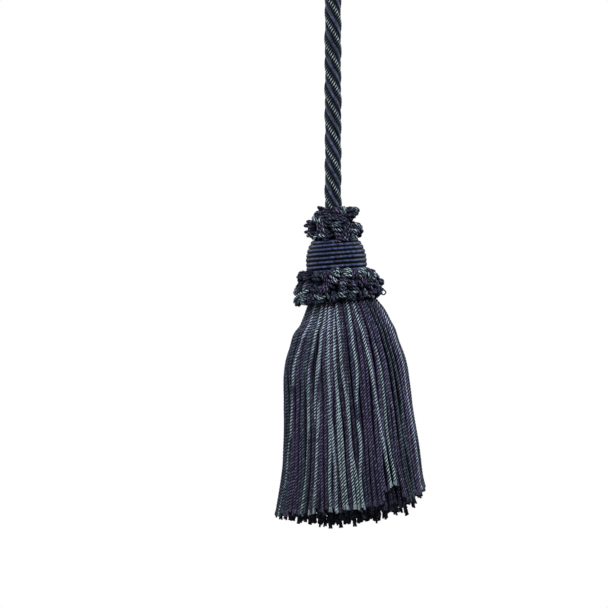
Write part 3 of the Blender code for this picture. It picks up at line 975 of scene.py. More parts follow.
@dataclass
class LoopClump:
    """A clump of yarn loops that stand out side by side from one place on a heading.

    The directions are unit vectors about the tassel's own axis. Roll turns the stack of
    loops about the way they stand out.
    """

    root: np.ndarray
    outward: np.ndarray
    reach: float
    width: float
    rows: int
    roll: float
    dye: Dye
    droop: float = 0.0
    row_pitch: float = 1.05 * MM
    # The widths of the loops that lie one inside the other.
    nests: tuple[float, ...] = (1.0, 0.55)
    # How unevenly the loops lie.
    roll_scatter: float = math.radians(14.0)
    swing_scatter: float = math.radians(8.0)
    lift_scatter: float = 0.12 * MM
    reach_scatter: tuple[float, float] = (0.88, 1.04)
    width_scatter: tuple[float, float] = (0.85, 1.12)
    skew_scatter: float = 0.35
    # How much shorter and narrower the loops get towards the clump's edge, and how much
    # shorter a nested one is.
    edge_shorter: float = 0.25
    edge_narrower: float = 0.15
    nested_shorter: float = 0.16
    # How far apart the loops lie at their roots, and how much further at their bends.
    root_spread: float = 0.8
    bend_spread: float = 0.3
    # Painted shade on the loops: how far out a loop starts to be painted lit, over what share
    # of its reach it comes to be fully lit, and how much darker its sides are painted.
    painted_light_from: float = 0.15
    painted_light_over: float = 0.75
    aside_shade: float = 0.5

    def loops(self, chance: random.Random, step: float) -> list[np.ndarray]:
        """Draws the loops.

        Args:
            chance: Where the loops' unevenness comes from.
            step: The spacing of a line's points.

        Returns:
            A line for each loop, from its first root round its bend to the other.
        """
        level = np.cross(self.outward, [0.0, 0.0, 1.0])
        level /= np.linalg.norm(level)
        up = np.cross(level, self.outward)
        stack = -math.sin(self.roll) * level + math.cos(self.roll) * up
        made = []
        for row in range(self.rows):
            place = row - 0.5 * (self.rows - 1)
            edge = abs(place) / max(1.0, 0.5 * self.rows)
            for nest in self.nests:
                roll = self.roll + chance.gauss(0.0, self.roll_scatter)
                sideways = math.cos(roll) * level + math.sin(roll) * up
                reach = self.reach * (1.0 - self.edge_shorter * edge ** 2)
                reach *= 1.0 - self.nested_shorter * (1.0 - nest)
                reach *= chance.uniform(*self.reach_scatter)
                width = self.width * nest * chance.uniform(*self.width_scatter)
                width *= 1.0 - self.edge_narrower * edge
                lift = place * self.row_pitch + chance.gauss(0.0, self.lift_scatter)
                base = self.root + stack * lift * self.root_spread
                swing = chance.gauss(0.0, self.swing_scatter)
                away = math.cos(swing) * self.outward + math.sin(swing) * sideways
                skew = chance.uniform(-self.skew_scatter, self.skew_scatter)
                spread = stack * lift * self.bend_spread
                loop = Hairpin(base, away, sideways, spread, reach, width, self.droop, skew)
                made.append(loop.line(step))
        return made

    def outside(self, line: np.ndarray) -> np.ndarray:
        """Finds the way out at each point of a loop, shorter where it lies deep, for painted shade.

        Args:
            line: The loop's line.

        Returns:
            A vector for each of its points.
        """
        off = line - self.root
        out = off @ self.outward
        aside = np.linalg.norm(off - out[:, None] * self.outward, axis=1)
        share = np.clip((out / self.reach - self.painted_light_from) / self.painted_light_over, 0.0, 1.0)
        share *= 1.0 - self.aside_shade * np.clip(aside / self.width, 0.0, 1.0) ** 2
        return share[:, None] * self.outward


def bearing_vector(bearing: float, rise: float = 0.0) -> np.ndarray:
    """Points out from the tassel's own axis.

    Args:
        bearing: The way's bearing, from the front towards the right.
        rise: How far it is tilted up.

    Returns:
        A unit vector.
    """
    return np.array([
        math.sin(bearing) * math.cos(rise), -math.cos(bearing) * math.cos(rise), math.sin(rise),
    ])


@dataclass
class ClumpPlace:
    """Where a clump stands: angles in degrees, lengths in millimetres."""

    bearing: float
    depth: float
    reach: float
    rise: float
    roll: float
    dye: Dye

    def clump(self, root_radius: float, width: float, rows: int, droop: float) -> LoopClump:
        """Sets the clump out.

        Args:
            root_radius: How far from the axis its loops are held.
            width: Its loops' width.
            rows: How many loops it has side by side, each with a smaller one inside.
            droop: How far its loops sink at their bends.

        Returns:
            The clump, with its root so placed that its bends come to the given depth.
        """
        bearing = math.radians(self.bearing)
        rise = math.radians(self.rise)
        outward = bearing_vector(bearing, rise)
        length = (self.reach * MM - root_radius) / math.cos(rise)
        root = bearing_vector(bearing) * root_radius
        root += np.array([0.0, 0.0, -self.depth * MM - outward[2] * length])
        roll = math.radians(self.roll)
        return LoopClump(root, outward, length, width, rows, roll, self.dye, droop)


# A row of a table of clumps, in the order of ClumpPlace: bearing from the front towards the
# right, depth, reach from the axis, rise, roll and dye lot.
ClumpRow = tuple[float, float, float, float, float, Dye]


@dataclass
class LooseLoop:
    """One loop that has worked loose from a ruff, through points about the tassel's axis."""

    points_mm: tuple[tuple[float, float, float], ...]
    dye: Dye
    fullness: float


@dataclass
class LoopedRuff:
    """A ruff of looped yarn on a wound heading: clumps of hairpin loops, and loose ones."""

    name: str
    node: str
    seed: int
    heading_radius: float
    heading_top: float
    heading_bottom: float
    # The clumps of the side that the picture shows, set one by one after it.
    front: tuple[ClumpRow, ...]
    # The clumps of the other side: their tiers, as (clumps, depth, reach, rise), and the
    # bearings that they fill, in degrees.
    back: tuple[tuple[int, float, float, float], ...]
    back_bearings: tuple[float, float]
    back_seed: int
    root_radius: float
    loop_width: float
    tone_high: float
    rows: int = 3
    corner: tuple[ClumpRow, ...] = ()
    loose: tuple[LooseLoop, ...] = ()
    yarn_radius: float = 0.57 * MM
    lay: float = 3.3 * MM
    step: float = 0.42 * MM
    heading_steps: int = 24
    heading_tone: float = 0.2
    dye_shares: tuple[float, ...] = (0.34, 0.24, 0.16, 0.26)
    # How many loops get a dye lot of their own, dealt out by the dye shares.
    stray_share: float = 0.40
    # How unevenly the clumps at the back lie.
    back_start: float = 0.25
    back_shift: float = 0.2
    back_depth_scatter_mm: float = 0.5
    back_reach_scatter: tuple[float, float] = (0.93, 1.03)
    back_rise_scatter: float = 5.0
    back_rolls: tuple[float, ...] = (0.0, 20.0, 35.0, -25.0)

    def back_places(self) -> list[ClumpPlace]:
        """Spreads clumps over the part of the ruff that the picture doesn't show.

        Returns:
            The clumps' places, every second tier shifted by half a clump.
        """
        chance = random.Random(self.back_seed)
        first, last = self.back_bearings
        places = []
        for index, (count, depth, reach, rise) in enumerate(self.back):
            for k in range(count):
                shift = chance.uniform(-self.back_shift, self.back_shift)
                share = (k + self.back_start + 0.5 * (index % 2) + shift) / count
                places.append(ClumpPlace(
                    first + (last - first) * share,
                    depth + chance.gauss(0.0, self.back_depth_scatter_mm),
                    reach * chance.uniform(*self.back_reach_scatter),
                    rise + chance.gauss(0.0, self.back_rise_scatter),
                    chance.choice(self.back_rolls),
                    chance.choices(list(Dye), self.dye_shares)[0],
                ))
        return places

    def droop(self, place: ClumpPlace) -> float:
        """Returns how far a clump's loops sink at their bends: here not at all."""
        return 0.0

    def clumps(self) -> list[LoopClump]:
        """Sets out all clumps.

        Returns:
            The clumps of the front, of the back and of the corner.
        """
        front = [ClumpPlace(*row) for row in self.front]
        corner = [ClumpPlace(*row) for row in self.corner]
        return [
            place.clump(self.root_radius, self.loop_width, self.rows, self.droop(place))
            for place in [*front, *self.back_places(), *corner]
        ]

    def twisted(
        self,
        line: np.ndarray,
        outside: np.ndarray,
        dye: Dye,
        fullness: float,
        chance: random.Random,
    ) -> YarnRun:
        """Twists a loop's line into a length of yarn.

        Args:
            line: The loop's line about the tassel's own axis.
            outside: The way out at each of its points.
            dye: Its dye lot.
            fullness: How thick its yarn is, as a share of the ruff's.
            chance: Where its tone and the start of its twist come from.

        Returns:
            The length of yarn in the frame.
        """
        twist = math.tau * (distances(line) / self.lay + chance.random())
        return leaned_run(line, twist, outside, chance.random(), dye, fullness)

    def build(self) -> bpy.types.Object:
        """Makes the ruff's loops and dresses them.

        Returns:
            The ruff, as one piece.
        """
        chance = random.Random(self.seed)
        turns = (self.heading_bottom - self.heading_top) / (CLOSE_PITCH * self.yarn_radius)
        runs = [heading_winding(
            self.heading_radius, self.heading_top, self.heading_bottom, turns,
            self.heading_steps, self.heading_tone,
        )]
        for clump in self.clumps():
            for line in clump.loops(chance, self.step):
                dye = clump.dye
                if chance.random() < self.stray_share:
                    dye = chance.choices(list(Dye), self.dye_shares)[0]
                runs.append(self.twisted(line, clump.outside(line), dye, 1.0, chance))
        for loop in self.loose:
            line = smooth_line(np.array(loop.points_mm) * MM, self.step)
            runs.append(
                self.twisted(line, away_from_axis(line), loop.dye, loop.fullness, chance)
            )
        section = YarnSection(self.yarn_radius, groove_share=0.58)
        # Plied cotton, bent into loops: matt and flecked; the bends are painted lit and the yarn
        # between them painted in shade.
        finishes = yarn_finishes(
            "plied_cotton_looped", 3, shade_start=-0.1, shade_end=0.8, shade_level=0.16,
            tone_low=0.9, tone_high=self.tone_high,
        )
        piece = sweep_yarn(self.name, runs, section, finishes)
        place_piece(piece, "looped_yarn", self.node)
        return piece


@dataclass
class UpperRuff(LoopedRuff):
    """The ruff round the cord's foot: four uneven tiers of clumps."""

    name: str = "upper_ruff_loops"
    node: str = "upper_ruff"
    seed: int = 25
    heading_radius: float = 4.2 * MM
    heading_top: float = 1.7 * MM
    heading_bottom: float = 12.0 * MM
    front: tuple[ClumpRow, ...] = (
        (74.0, 3.1, 9.2, 0.0, 10.0, Dye.TEAL), (98.0, 3.4, 8.3, 0.0, -10.0, Dye.PLUM),
        (14.0, 2.9, 6.3, 6.0, 10.0, Dye.PLUM), (42.0, 2.8, 6.0, 6.0, 60.0, Dye.TEAL),
        (-30.0, 3.2, 5.6, 5.0, -40.0, Dye.INK), (-72.0, 4.0, 5.4, 0.0, 20.0, Dye.INK),
        (-14.0, 5.3, 7.4, 4.0, 0.0, Dye.INK), (-52.0, 5.0, 8.7, 5.0, 45.0, Dye.TEAL),
        (22.0, 5.4, 7.2, 0.0, -20.0, Dye.INK), (60.0, 5.2, 6.2, 0.0, 50.0, Dye.SLATE),
        (-84.0, 7.3, 10.0, 3.0, 15.0, Dye.INK), (-36.0, 8.1, 9.0, 0.0, 30.0, Dye.PLUM),
        (4.0, 8.0, 9.3, 0.0, 0.0, Dye.SLATE), (34.0, 8.4, 9.2, 0.0, 70.0, Dye.INK),
        (62.0, 8.8, 9.9, 0.0, 20.0, Dye.PLUM), (90.0, 8.7, 9.7, 0.0, 15.0, Dye.INK),
        (-75.0, 9.5, 10.8, -2.0, 0.0, Dye.PLUM), (-24.0, 11.6, 9.8, -16.0, 20.0, Dye.TEAL),
        (-48.0, 10.7, 9.2, -12.0, -30.0, Dye.INK), (8.0, 12.6, 9.9, -16.0, 0.0, Dye.PLUM),
        (52.0, 11.1, 10.3, -4.0, 0.0, Dye.TEAL), (84.0, 10.6, 10.0, -4.0, 20.0, Dye.INK),
        (29.0, 11.6, 9.4, -10.0, 40.0, Dye.INK),
    )
    corner: tuple[ClumpRow, ...] = ((64.0, 2.8, 7.6, 4.0, 0.0, Dye.PLUM),)
    back: tuple[tuple[int, float, float, float], ...] = (
        (4, 3.1, 6.2, 4.0), (4, 5.3, 7.8, 4.0), (5, 8.1, 9.5, 0.0), (5, 11.1, 9.4, -10.0),
    )
    back_bearings: tuple[float, float] = (105.0, 262.0)
    back_seed: int = 8
    root_radius: float = 3.6 * MM
    loop_width: float = 3.1 * MM
    tone_high: float = 1.8


@dataclass
class LowerRuff(LoopedRuff):
    """The deep collar round the head's foot: three uneven tiers of clumps."""

    name: str = "lower_ruff_loops"
    node: str = "lower_ruff"
    seed: int = 31
    heading_radius: float = 11.3 * MM
    heading_top: float = 23.9 * MM
    heading_bottom: float = 33.0 * MM
    front: tuple[ClumpRow, ...] = (
        (-75.0, 25.2, 14.4, 10.0, 25.0, Dye.INK), (-54.0, 24.8, 14.2, 12.0, -30.0, Dye.INK),
        (-35.0, 24.9, 14.0, 12.0, 10.0, Dye.SLATE), (-18.0, 24.9, 14.1, 12.0, 60.0, Dye.PLUM),
        (-2.0, 23.9, 13.4, 18.0, 0.0, Dye.TEAL), (16.0, 24.4, 13.9, 16.0, -10.0, Dye.TEAL),
        (27.0, 25.2, 14.2, 12.0, 70.0, Dye.PLUM), (40.0, 24.6, 14.4, 14.0, 15.0, Dye.TEAL),
        (54.0, 25.4, 14.6, 10.0, 75.0, Dye.INK), (70.0, 26.6, 15.0, 6.0, 30.0, Dye.TEAL),
        (88.0, 27.5, 15.0, 3.0, 20.0, Dye.INK), (-68.0, 28.6, 15.8, 0.0, 60.0, Dye.INK),
        (-50.0, 28.4, 15.8, 0.0, -60.0, Dye.PLUM), (-33.0, 29.3, 15.9, 0.0, 20.0, Dye.INK),
        (-19.0, 29.8, 15.9, -4.0, 75.0, Dye.PLUM), (-8.5, 27.2, 16.2, 4.0, 35.0, Dye.TEAL),
        (8.0, 28.0, 16.2, 0.0, 0.0, Dye.PLUM), (22.0, 29.2, 16.2, 0.0, 0.0, Dye.INK),
        (36.0, 28.0, 16.1, 2.0, 65.0, Dye.PLUM), (49.0, 29.0, 16.1, 0.0, 10.0, Dye.INK),
        (63.0, 29.2, 16.1, 0.0, 50.0, Dye.INK), (80.0, 28.8, 16.4, 2.0, 25.0, Dye.PLUM),
        (-75.0, 32.2, 16.1, -8.0, 25.0, Dye.INK), (-56.0, 32.0, 15.9, -8.0, 20.0, Dye.TEAL),
        (-41.0, 32.6, 15.8, -10.0, 75.0, Dye.INK), (-26.0, 32.9, 15.9, -10.0, 10.0, Dye.TEAL),
        (-8.0, 33.0, 15.8, -10.0, 65.0, Dye.INK), (7.0, 31.6, 16.2, -4.0, 0.0, Dye.TEAL),
        (21.0, 32.9, 16.0, -10.0, 0.0, Dye.SLATE), (36.0, 32.4, 15.9, -8.0, 75.0, Dye.INK),
        (52.0, 32.2, 16.0, -8.0, 20.0, Dye.PLUM), (68.0, 31.9, 16.2, -6.0, 70.0, Dye.INK),
        (86.0, 31.2, 16.2, -4.0, 10.0, Dye.INK),
    )
    back: tuple[tuple[int, float, float, float], ...] = (
        (11, 25.2, 14.6, 12.0), (11, 28.8, 16.0, 0.0), (11, 32.4, 15.9, -8.0),
    )
    back_bearings: tuple[float, float] = (104.0, 272.0)
    back_seed: int = 19
    root_radius: float = 10.9 * MM
    loop_width: float = 3.3 * MM
    tone_high: float = 1.45
    loose: tuple[LooseLoop, ...] = (
        LooseLoop((
            (13.4, -2.0, -31.0), (15.2, -1.6, -31.0), (16.4, -1.4, -31.5), (16.8, -1.3, -32.2),
            (16.3, -1.4, -32.9), (15.5, -1.7, -32.9), (15.1, -1.9, -32.2), (13.4, -2.4, -31.9),
        ), Dye.INK, 0.5),
        LooseLoop((
            (-10.6, -11.4, -30.0), (-11.8, -11.4, -30.6), (-13.5, -10.1, -31.2),
            (-15.0, -8.0, -32.3), (-15.5, -6.8, -33.4), (-14.9, -6.4, -34.3),
            (-13.8, -6.4, -33.6), (-12.2, -6.6, -32.0),
        ), Dye.TEAL, 1.0),
    )
    # The loops below this depth sink towards the left, by up to so much.
    droop_from_mm: float = 27.0
    most_droop: float = 1.9 * MM

    def droop(self, place: ClumpPlace) -> float:
        """Works out how far a clump's loops sink at their bends.

        Args:
            place: Where the clump stands.

        Returns:
            How far they sink: the more, the further left the clump stands.
        """
        left = max(0.0, -math.sin(math.radians(place.bearing)))
        return self.most_droop * left ** 2 if place.depth > self.droop_from_mm else 0.0


def space_out(bearings: list[float], fixed: list[bool], rounds: int = 60) -> list[float]:
    """Evens out the gaps between bearings round a circle, but for the fixed ones.

    Args:
        bearings: The bearings, in radians.
        fixed: Which of them stay.
        rounds: How often each moves halfway between its neighbours.

    Returns:
        The evened bearings, in the same order.
    """
    turned = [bearing % math.tau for bearing in bearings]
    order = sorted(range(len(turned)), key=lambda k: turned[k])
    count = len(order)
    for _ in range(rounds):
        for i, k in enumerate(order):
            if fixed[k]:
                continue
            before = turned[order[i - 1]] - (math.tau if i == 0 else 0.0)
            after = turned[order[(i + 1) % count]] + (math.tau if i == count - 1 else 0.0)
            turned[k] += 0.5 * (0.5 * (before + after) - turned[k])
    nearest = [round((old - new) / math.tau) for old, new in zip(bearings, turned)]
    return [new + math.tau * laps for new, laps in zip(turned, nearest)]


@dataclass
class Strand:
    """Where a strand of the skirt hangs.

    It has a bearing at its cut end and one at its root, a distance from the axis at its
    root, and one at its end as a share of the outline. It may be given a listed place, and
    its root may be covered by a neighbour's.
    """

    end: float
    root: float
    ring: float
    dye: Dye = Dye.INK
    end_share: float = 1.0
    placed: bool = False
    covered: bool = False

    def at(self, fall: float | np.ndarray) -> float | np.ndarray:
        """Returns its bearing at a share of the way from its root to its end."""
        return self.root + (self.end - self.root) * fall

    def beside(self, other: "Strand", share: float, ring: float, end_share: float) -> "Strand":
        """Hangs a strand between this one and another.

        Args:
            other: The strand on its other side.
            share: How far over to that one it hangs.
            ring: Its distance from the axis at its root.
            end_share: Its distance at its end, as a share of the outline.

        Returns:
            The new strand.
        """
        end = self.end + (other.end - self.end) * share
        root = self.root + (other.root - self.root) * share
        return Strand(end, root, ring, end_share=end_share)


@dataclass
class TasselSkirt:
    """The fringe of twisted strands, bound into a heading that the lower ruff hides."""

    strand_radius: float = 0.67 * MM
    heading_top: float = 25.4 * MM
    heading_bottom: float = 31.0 * MM
    heading_radius: float = 10.55 * MM
    heading_turns: float = 7.0
    heading_steps: int = 30
    heading_tone: float = 0.4
    heading_insets: tuple[float, float] = (0.5 * MM, 0.4 * MM)
    thread_radius: float = 0.40 * MM
    # A strand's thickness at its bound root, as a share of the full one, and how far below
    # the heading it is full.
    root_share: float = 0.84
    full_after: float = 9.0 * MM
    plies: int = 3
    # Real strands of this thickness turn a little more often: the lay is drawn coarser.
    lay: float = 3.4 * MM
    steps_per_lay: int = 8
    outline_mm: tuple[tuple[float, float, float], ...] = (
        # depth, radius, how much further the right side stands out, and the left side less
        (31.0, 11.0, 0.6), (35.3, 12.7, 1.5), (37.4, 13.9, 1.9), (40.6, 15.4, 2.05),
        (42.7, 16.4, 1.9), (44.5, 17.7, 1.55), (50.0, 19.6, 1.2), (54.0, 21.0, 1.0),
        (69.0, 22.6, 1.3), (84.0, 23.85, 1.35), (98.0, 25.4, 1.1), (108.0, 27.4, 0.6),
    )
    # How much its radius grows with each length of depth below the outline's last row.
    end_flare: float = 0.16

    # Painted shade under the lower ruff and towards the cut ends: where each starts, over
    # what depth it grows or fades, and how dark the low one gets.
    ruff_shade: float = 31.5 * MM
    ruff_shade_depth: float = 9.0 * MM
    low_shade: float = 76.0 * MM
    low_shade_depth: float = 28.0 * MM
    low_shade_level: float = 0.45

    # A strand's way down: how it moves out and round, and how it waves.
    out_ease: float = 0.6
    turn_ease: float = 0.85
    wave_mm: tuple[float, float] = (26.0, 60.0)
    sway_mm: tuple[float, float] = (0.12, 0.40)
    heave_mm: tuple[float, float] = (0.05, 0.25)
    heave_share: float = 0.8
    wave_start_rate: float = 3.0
    least_sway_radius: float = 4.0 * MM

    outer_seed: int = 47
    outer_count: int = 112
    outer_rings_mm: tuple[float, float] = (10.2, 9.1)
    end_scatter: float = 0.15
    root_scatter: float = 0.45
    end_unevenness: float = 0.68 * MM
    outer_end_scatter: float = 0.6
    dark_dyes: tuple[Dye, ...] = (Dye.PLUM, Dye.INK, Dye.SLATE)
    dark_shares: tuple[float, ...] = (0.46, 0.24, 0.30)
    dye_runs: tuple[int, ...] = (1, 1, 2, 2, 3)
    # The strands whose bearing has a lower cosine than this are at the back and the sides.
    back_cosine: float = 0.15
    back_teal_share: float = 0.20
    # Light strands of the front, as (bearing at the cut end, bearing at the root) in degrees,
    # and whether the root lies over its neighbours'.
    front_teal_deg: tuple[tuple[float, float, bool], ...] = (
        (-74.0, -44.0, True), (-41.0, -29.0, True), (-34.5, -22.0, False),
        (-30.0, -20.0, True), (-15.5, -17.0, False), (-11.0, -16.0, True),
        (-5.5, -12.0, False), (-2.5, -10.0, False), (3.0, -4.0, False), (6.5, -5.0, True),
        (9.0, 14.0, True), (35.0, 21.0, True), (38.0, 37.0, False), (73.0, 70.0, True),
    )
    # Where gaps between the outer strands are looked for, as a share of the way down from
    # the root, and how wide a gap each strand that is added fills, in pitches.
    fillings: tuple[tuple[float, float], ...] = ((0.0, 1.25), (0.45, 1.0), (0.75, 1.0))
    filling_slack: float = 0.9
    filling_end_share: float = 0.955
    # How open the added strands are: they lie under the outer ones, in painted shade.
    filling_openness: float = 0.45

    inner_rings: tuple[tuple[int, float, float], ...] = (
        # strands, radius at the root in millimetres, share of the outline at the end
        (64, 8.0, 0.94), (50, 7.0, 0.82), (42, 6.0, 0.70), (34, 5.0, 0.57), (26, 4.0, 0.44),
        (18, 3.0, 0.31), (11, 1.9, 0.18), (4, 0.8, 0.06),
    )
    inner_seed: int = 53
    inner_shift: float = 0.2
    inner_end_scatter: float = 0.9
    # The inner strands' low tones, and partly their dark dye lots, are painted shade under the
    # outer strands.
    inner_dye_shares: tuple[float, ...] = (0.50, 0.28, 0.18, 0.04)
    inner_shade_tones: tuple[float, float] = (0.0, 0.5)
    # Inner strands are drawn finely only near their ends: the strands of the first rings
    # over the shown length, and the others over the hidden one.
    shown_rings: int = 2
    shown_length: float = 14.0 * MM
    hidden_length: float = 8.0 * MM
    shaft_step: float = 7.0 * MM
    tip_step: float = 0.53 * MM
    # How open the strands of the first inner ring and of the others are, for their painted shade.
    first_ring_openness: float = 0.9
    inner_openness: float = 0.4

    # The face of the cut ends: a low dome, cut off to the right, with a notch in its edge.
    dome_depth: float = 112.4 * MM
    dome_rise: float = 4.8 * MM
    dome_reach: float = 24.5 * MM
    dome_middle_x: float = -3.0 * MM
    notch_rise: float = 5.6 * MM
    notch_bearing: float = math.radians(35.0)
    notch_half_angle: float = math.radians(11.0)
    notch_squareness: int = 4
    right_edge: float = 21.5 * MM
    right_slope: float = 0.62

    # The plies of a cut end, how they splay, and over how many of a strand's last points
    # its way down is taken.
    end_span: int = 4
    ply_seed: int = 61
    ply_radius: float = 0.38 * MM
    ply_sides: int = 5
    ply_step: float = 0.6 * MM
    ply_root: float = 0.8 * MM
    ply_offsets: tuple[float, float] = (0.30 * MM, 0.34 * MM)
    ply_lengths_mm: tuple[float, float] = (0.2, 1.2)
    ply_splay: tuple[float, float] = (-0.2, 1.0)
    ply_tips: tuple[float, float] = (0.75, 1.1)
    outer_splay: float = 0.15 * MM
    inner_splay: float = 0.35 * MM

    def end_radius(self) -> float:
        """Returns the outline's radius at its end."""
        return self.outline_mm[-1][1] * MM

    def outer_pitch(self) -> float:
        """Returns the angle from one outer strand to the next."""
        return math.tau / self.outer_count

    def end_depth(self, reach: float, bearing: float, outermost: bool) -> float:
        """Works out how deep a strand's cut end hangs.

        Args:
            reach: The end's distance from the axis.
            bearing: Its bearing from the front towards the right.
            outermost: Whether it is one of the outer strands, which the notch cuts.

        Returns:
            The depth below the cord's foot.
        """
        x, y = reach * math.sin(bearing), -reach * math.cos(bearing)
        off_middle = math.hypot(x - self.dome_middle_x, y) / self.dome_reach
        depth = self.dome_depth - self.dome_rise * off_middle ** 2
        depth -= self.right_slope * max(0.0, x - self.right_edge)
        turned = abs((bearing - self.notch_bearing + math.pi) % math.tau - math.pi)
        if outermost and turned < self.notch_half_angle:
            aside = (turned / self.notch_half_angle) ** self.notch_squareness
            depth -= self.notch_rise * (1.0 - aside)
        return depth

    def strand_line(
        self, strand: Strand, depths: np.ndarray, chance: random.Random
    ) -> np.ndarray:
        """Draws a strand from its root to its end.

        Args:
            strand: Where it hangs.
            depths: The depths of the line's points.
            chance: Where its waviness comes from.

        Returns:
            The line about the tassel's own axis.
        """
        length = self.outline_mm[-1][0] * MM - self.heading_bottom
        fall = np.clip((depths - self.heading_bottom) / length, 0.0, 1.0)
        ease = fall ** self.out_ease
        share = strand.ring / (self.outer_rings_mm[0] * MM) * (1.0 - ease)
        share = share + strand.end_share * ease
        beyond = np.maximum(0.0, depths - self.outline_mm[-1][0] * MM)
        outline = table_curve(self.outline_mm, depths, 1) + beyond * self.end_flare
        away = (outline - self.strand_radius) * share
        bearing = strand.at(fall ** self.turn_ease)
        wave = chance.uniform(*self.wave_mm) * MM
        start = chance.uniform(0.0, math.tau)
        growing = np.minimum(1.0, self.wave_start_rate * fall)
        sway = chance.uniform(*self.sway_mm) * MM * np.sin(math.tau * depths / wave + start)
        heave_wave = self.heave_share * wave
        heave = chance.uniform(*self.heave_mm) * MM * np.cos(math.tau * depths / heave_wave + start)
        bearing = bearing + sway * growing / np.maximum(away, self.least_sway_radius)
        aside = table_curve(self.outline_mm, depths, 2) * np.sin(bearing)
        return about_axis(away + heave * growing + aside, bearing, depths)

    def strand_run(
        self, line: np.ndarray, twist: np.ndarray, openness: float, tone: float, dye: Dye
    ) -> YarnRun:
        """Makes a strand's line a length of yarn.

        Args:
            line: The line about the tassel's own axis.
            twist: The yarn's turn at each point.
            openness: How open it is, from 0 to 1: the lower, the darker its painted shade.
            tone: How light it is among the strands.
            dye: Its dye lot.

        Returns:
            The length of yarn in the frame, thin where it is bound and full below.
        """
        depths = -line[:, 2]
        # Painted shade: darker under the lower ruff, towards the cut ends, and where it lies deep.
        below_ruff = np.clip((depths - self.ruff_shade) / self.ruff_shade_depth, 0.0, 1.0)
        low = np.clip((depths - self.low_shade) / self.low_shade_depth, 0.0, 1.0)
        light = openness * below_ruff * (1.0 - self.low_shade_level * low)
        outside = light[:, None] * away_from_axis(line)
        fall = np.clip((depths - self.heading_bottom) / self.full_after, 0.0, 1.0)
        fullness = self.root_share + (1.0 - self.root_share) * fall
        return leaned_run(line, twist, outside, tone, dye, fullness)

    def dealt_strands(self, chance: random.Random) -> list[Strand]:
        """Spreads the outer strands evenly, their dark dye lots in ones, twos and threes.

        Args:
            chance: Where the unevenness comes from.

        Returns:
            The strands, from the front round to the right.
        """
        dyes: list[Dye] = []
        while len(dyes) < self.outer_count:
            dye = chance.choices(self.dark_dyes, self.dark_shares)[0]
            dyes += [dye] * chance.choice(self.dye_runs)
        pitch = self.outer_pitch()
        ends = [
            (k + chance.uniform(-self.end_scatter, self.end_scatter)) * pitch
            for k in range(self.outer_count)
        ]
        ends = [(end + math.pi) % math.tau - math.pi for end in ends]
        roots = [end + chance.gauss(0.0, self.root_scatter * pitch) for end in ends]
        return [
            Strand(end, root, self.outer_rings_mm[k % 2] * MM, dye)
            for k, (end, root, dye) in enumerate(zip(ends, roots, dyes))
        ]

    def place_front_teal(self, strands: list[Strand]) -> None:
        """Moves the light strands of the front to their own places, and the others aside.

        Args:
            strands: The outer strands.
        """
        pitch = self.outer_pitch()
        for end_deg, root_deg, on_top in self.front_teal_deg:
            strand = strands[round(math.radians(end_deg) / pitch) % self.outer_count]
            strand.end = math.radians(end_deg)
            strand.root = math.radians(root_deg)
            strand.ring = self.outer_rings_mm[0 if on_top else 1] * MM
            strand.dye = Dye.TEAL
            strand.placed = True
            strand.covered = not on_top
        ends = space_out([s.end for s in strands], [s.placed for s in strands])
        for strand, end in zip(strands, ends):
            strand.end = end
        bare = [strand for strand in strands if not strand.covered]
        roots = space_out([s.root for s in bare], [s.placed for s in bare])
        for strand, root in zip(bare, roots):
            strand.root = root
        dark = [strand for strand in bare if not strand.placed]
        for strand in strands:
            if strand.covered:
                cover = min(dark, key=lambda other: abs(other.root - strand.root))
                strand.root = cover.root
                cover.ring = self.outer_rings_mm[0] * MM

    def mix_back(self, strands: list[Strand], chance: random.Random) -> None:
        """Mixes the dye lots of the outer strands at the back and the sides.

        Some turn light, and after that no strand there has the dye lot of both before it.

        Args:
            strands: The outer strands.
            chance: Which of them turn light.
        """
        after = {Dye.PLUM: Dye.SLATE, Dye.SLATE: Dye.INK, Dye.INK: Dye.PLUM, Dye.TEAL: Dye.PLUM}
        for strand in strands:
            if math.cos(strand.end) < self.back_cosine and chance.random() < self.back_teal_share:
                strand.dye = Dye.TEAL
        for first, second, third in zip(strands, strands[1:], strands[2:]):
            if math.cos(third.end) < self.back_cosine and first.dye == second.dye == third.dye:
                third.dye = after[third.dye]

    def fill_gaps(self, strands: list[Strand], chance: random.Random) -> None:
        """Hangs more dark strands under the outer ones, where these leave gaps.

        Args:
            strands: The outer strands, to which the new ones are added.
            chance: Where the new ones' dye lots come from.
        """
        pitch = self.outer_pitch()
        ring = self.outer_rings_mm[1] * MM
        for fall, width in self.fillings:
            order = sorted(strands, key=lambda strand: strand.at(fall))
            for left, right in zip(order, order[1:]):
                opening = (right.at(fall) - left.at(fall)) / pitch
                count = max(0, round(opening / width - self.filling_slack))
                for j in range(1, count + 1):
                    added = left.beside(right, j / (count + 1), ring, self.filling_end_share)
                    added.dye = chance.choice(self.dark_dyes)
                    strands.append(added)

    def outer_runs(self) -> list[YarnRun]:
        """Hangs the outer strands.

        Returns:
            A length of yarn for each.
        """
        chance = random.Random(self.outer_seed)
        strands = self.dealt_strands(chance)
        self.place_front_teal(strands)
        self.mix_back(strands, chance)
        self.fill_gaps(strands, chance)
        runs = []
        for strand in strands:
            depth = self.end_depth(self.end_radius(), strand.end, True)
            depth += chance.gauss(0.0, self.outer_end_scatter) * self.end_unevenness
            depths = np.arange(self.heading_top, depth, self.lay / self.steps_per_lay)
            line = self.strand_line(strand, depths, chance)
            twist = math.tau * (distances(line) / self.lay + chance.random())
            openness = 1.0 if strand.end_share == 1.0 else self.filling_openness
            runs.append(self.strand_run(line, twist, openness, chance.random(), strand.dye))
        return runs

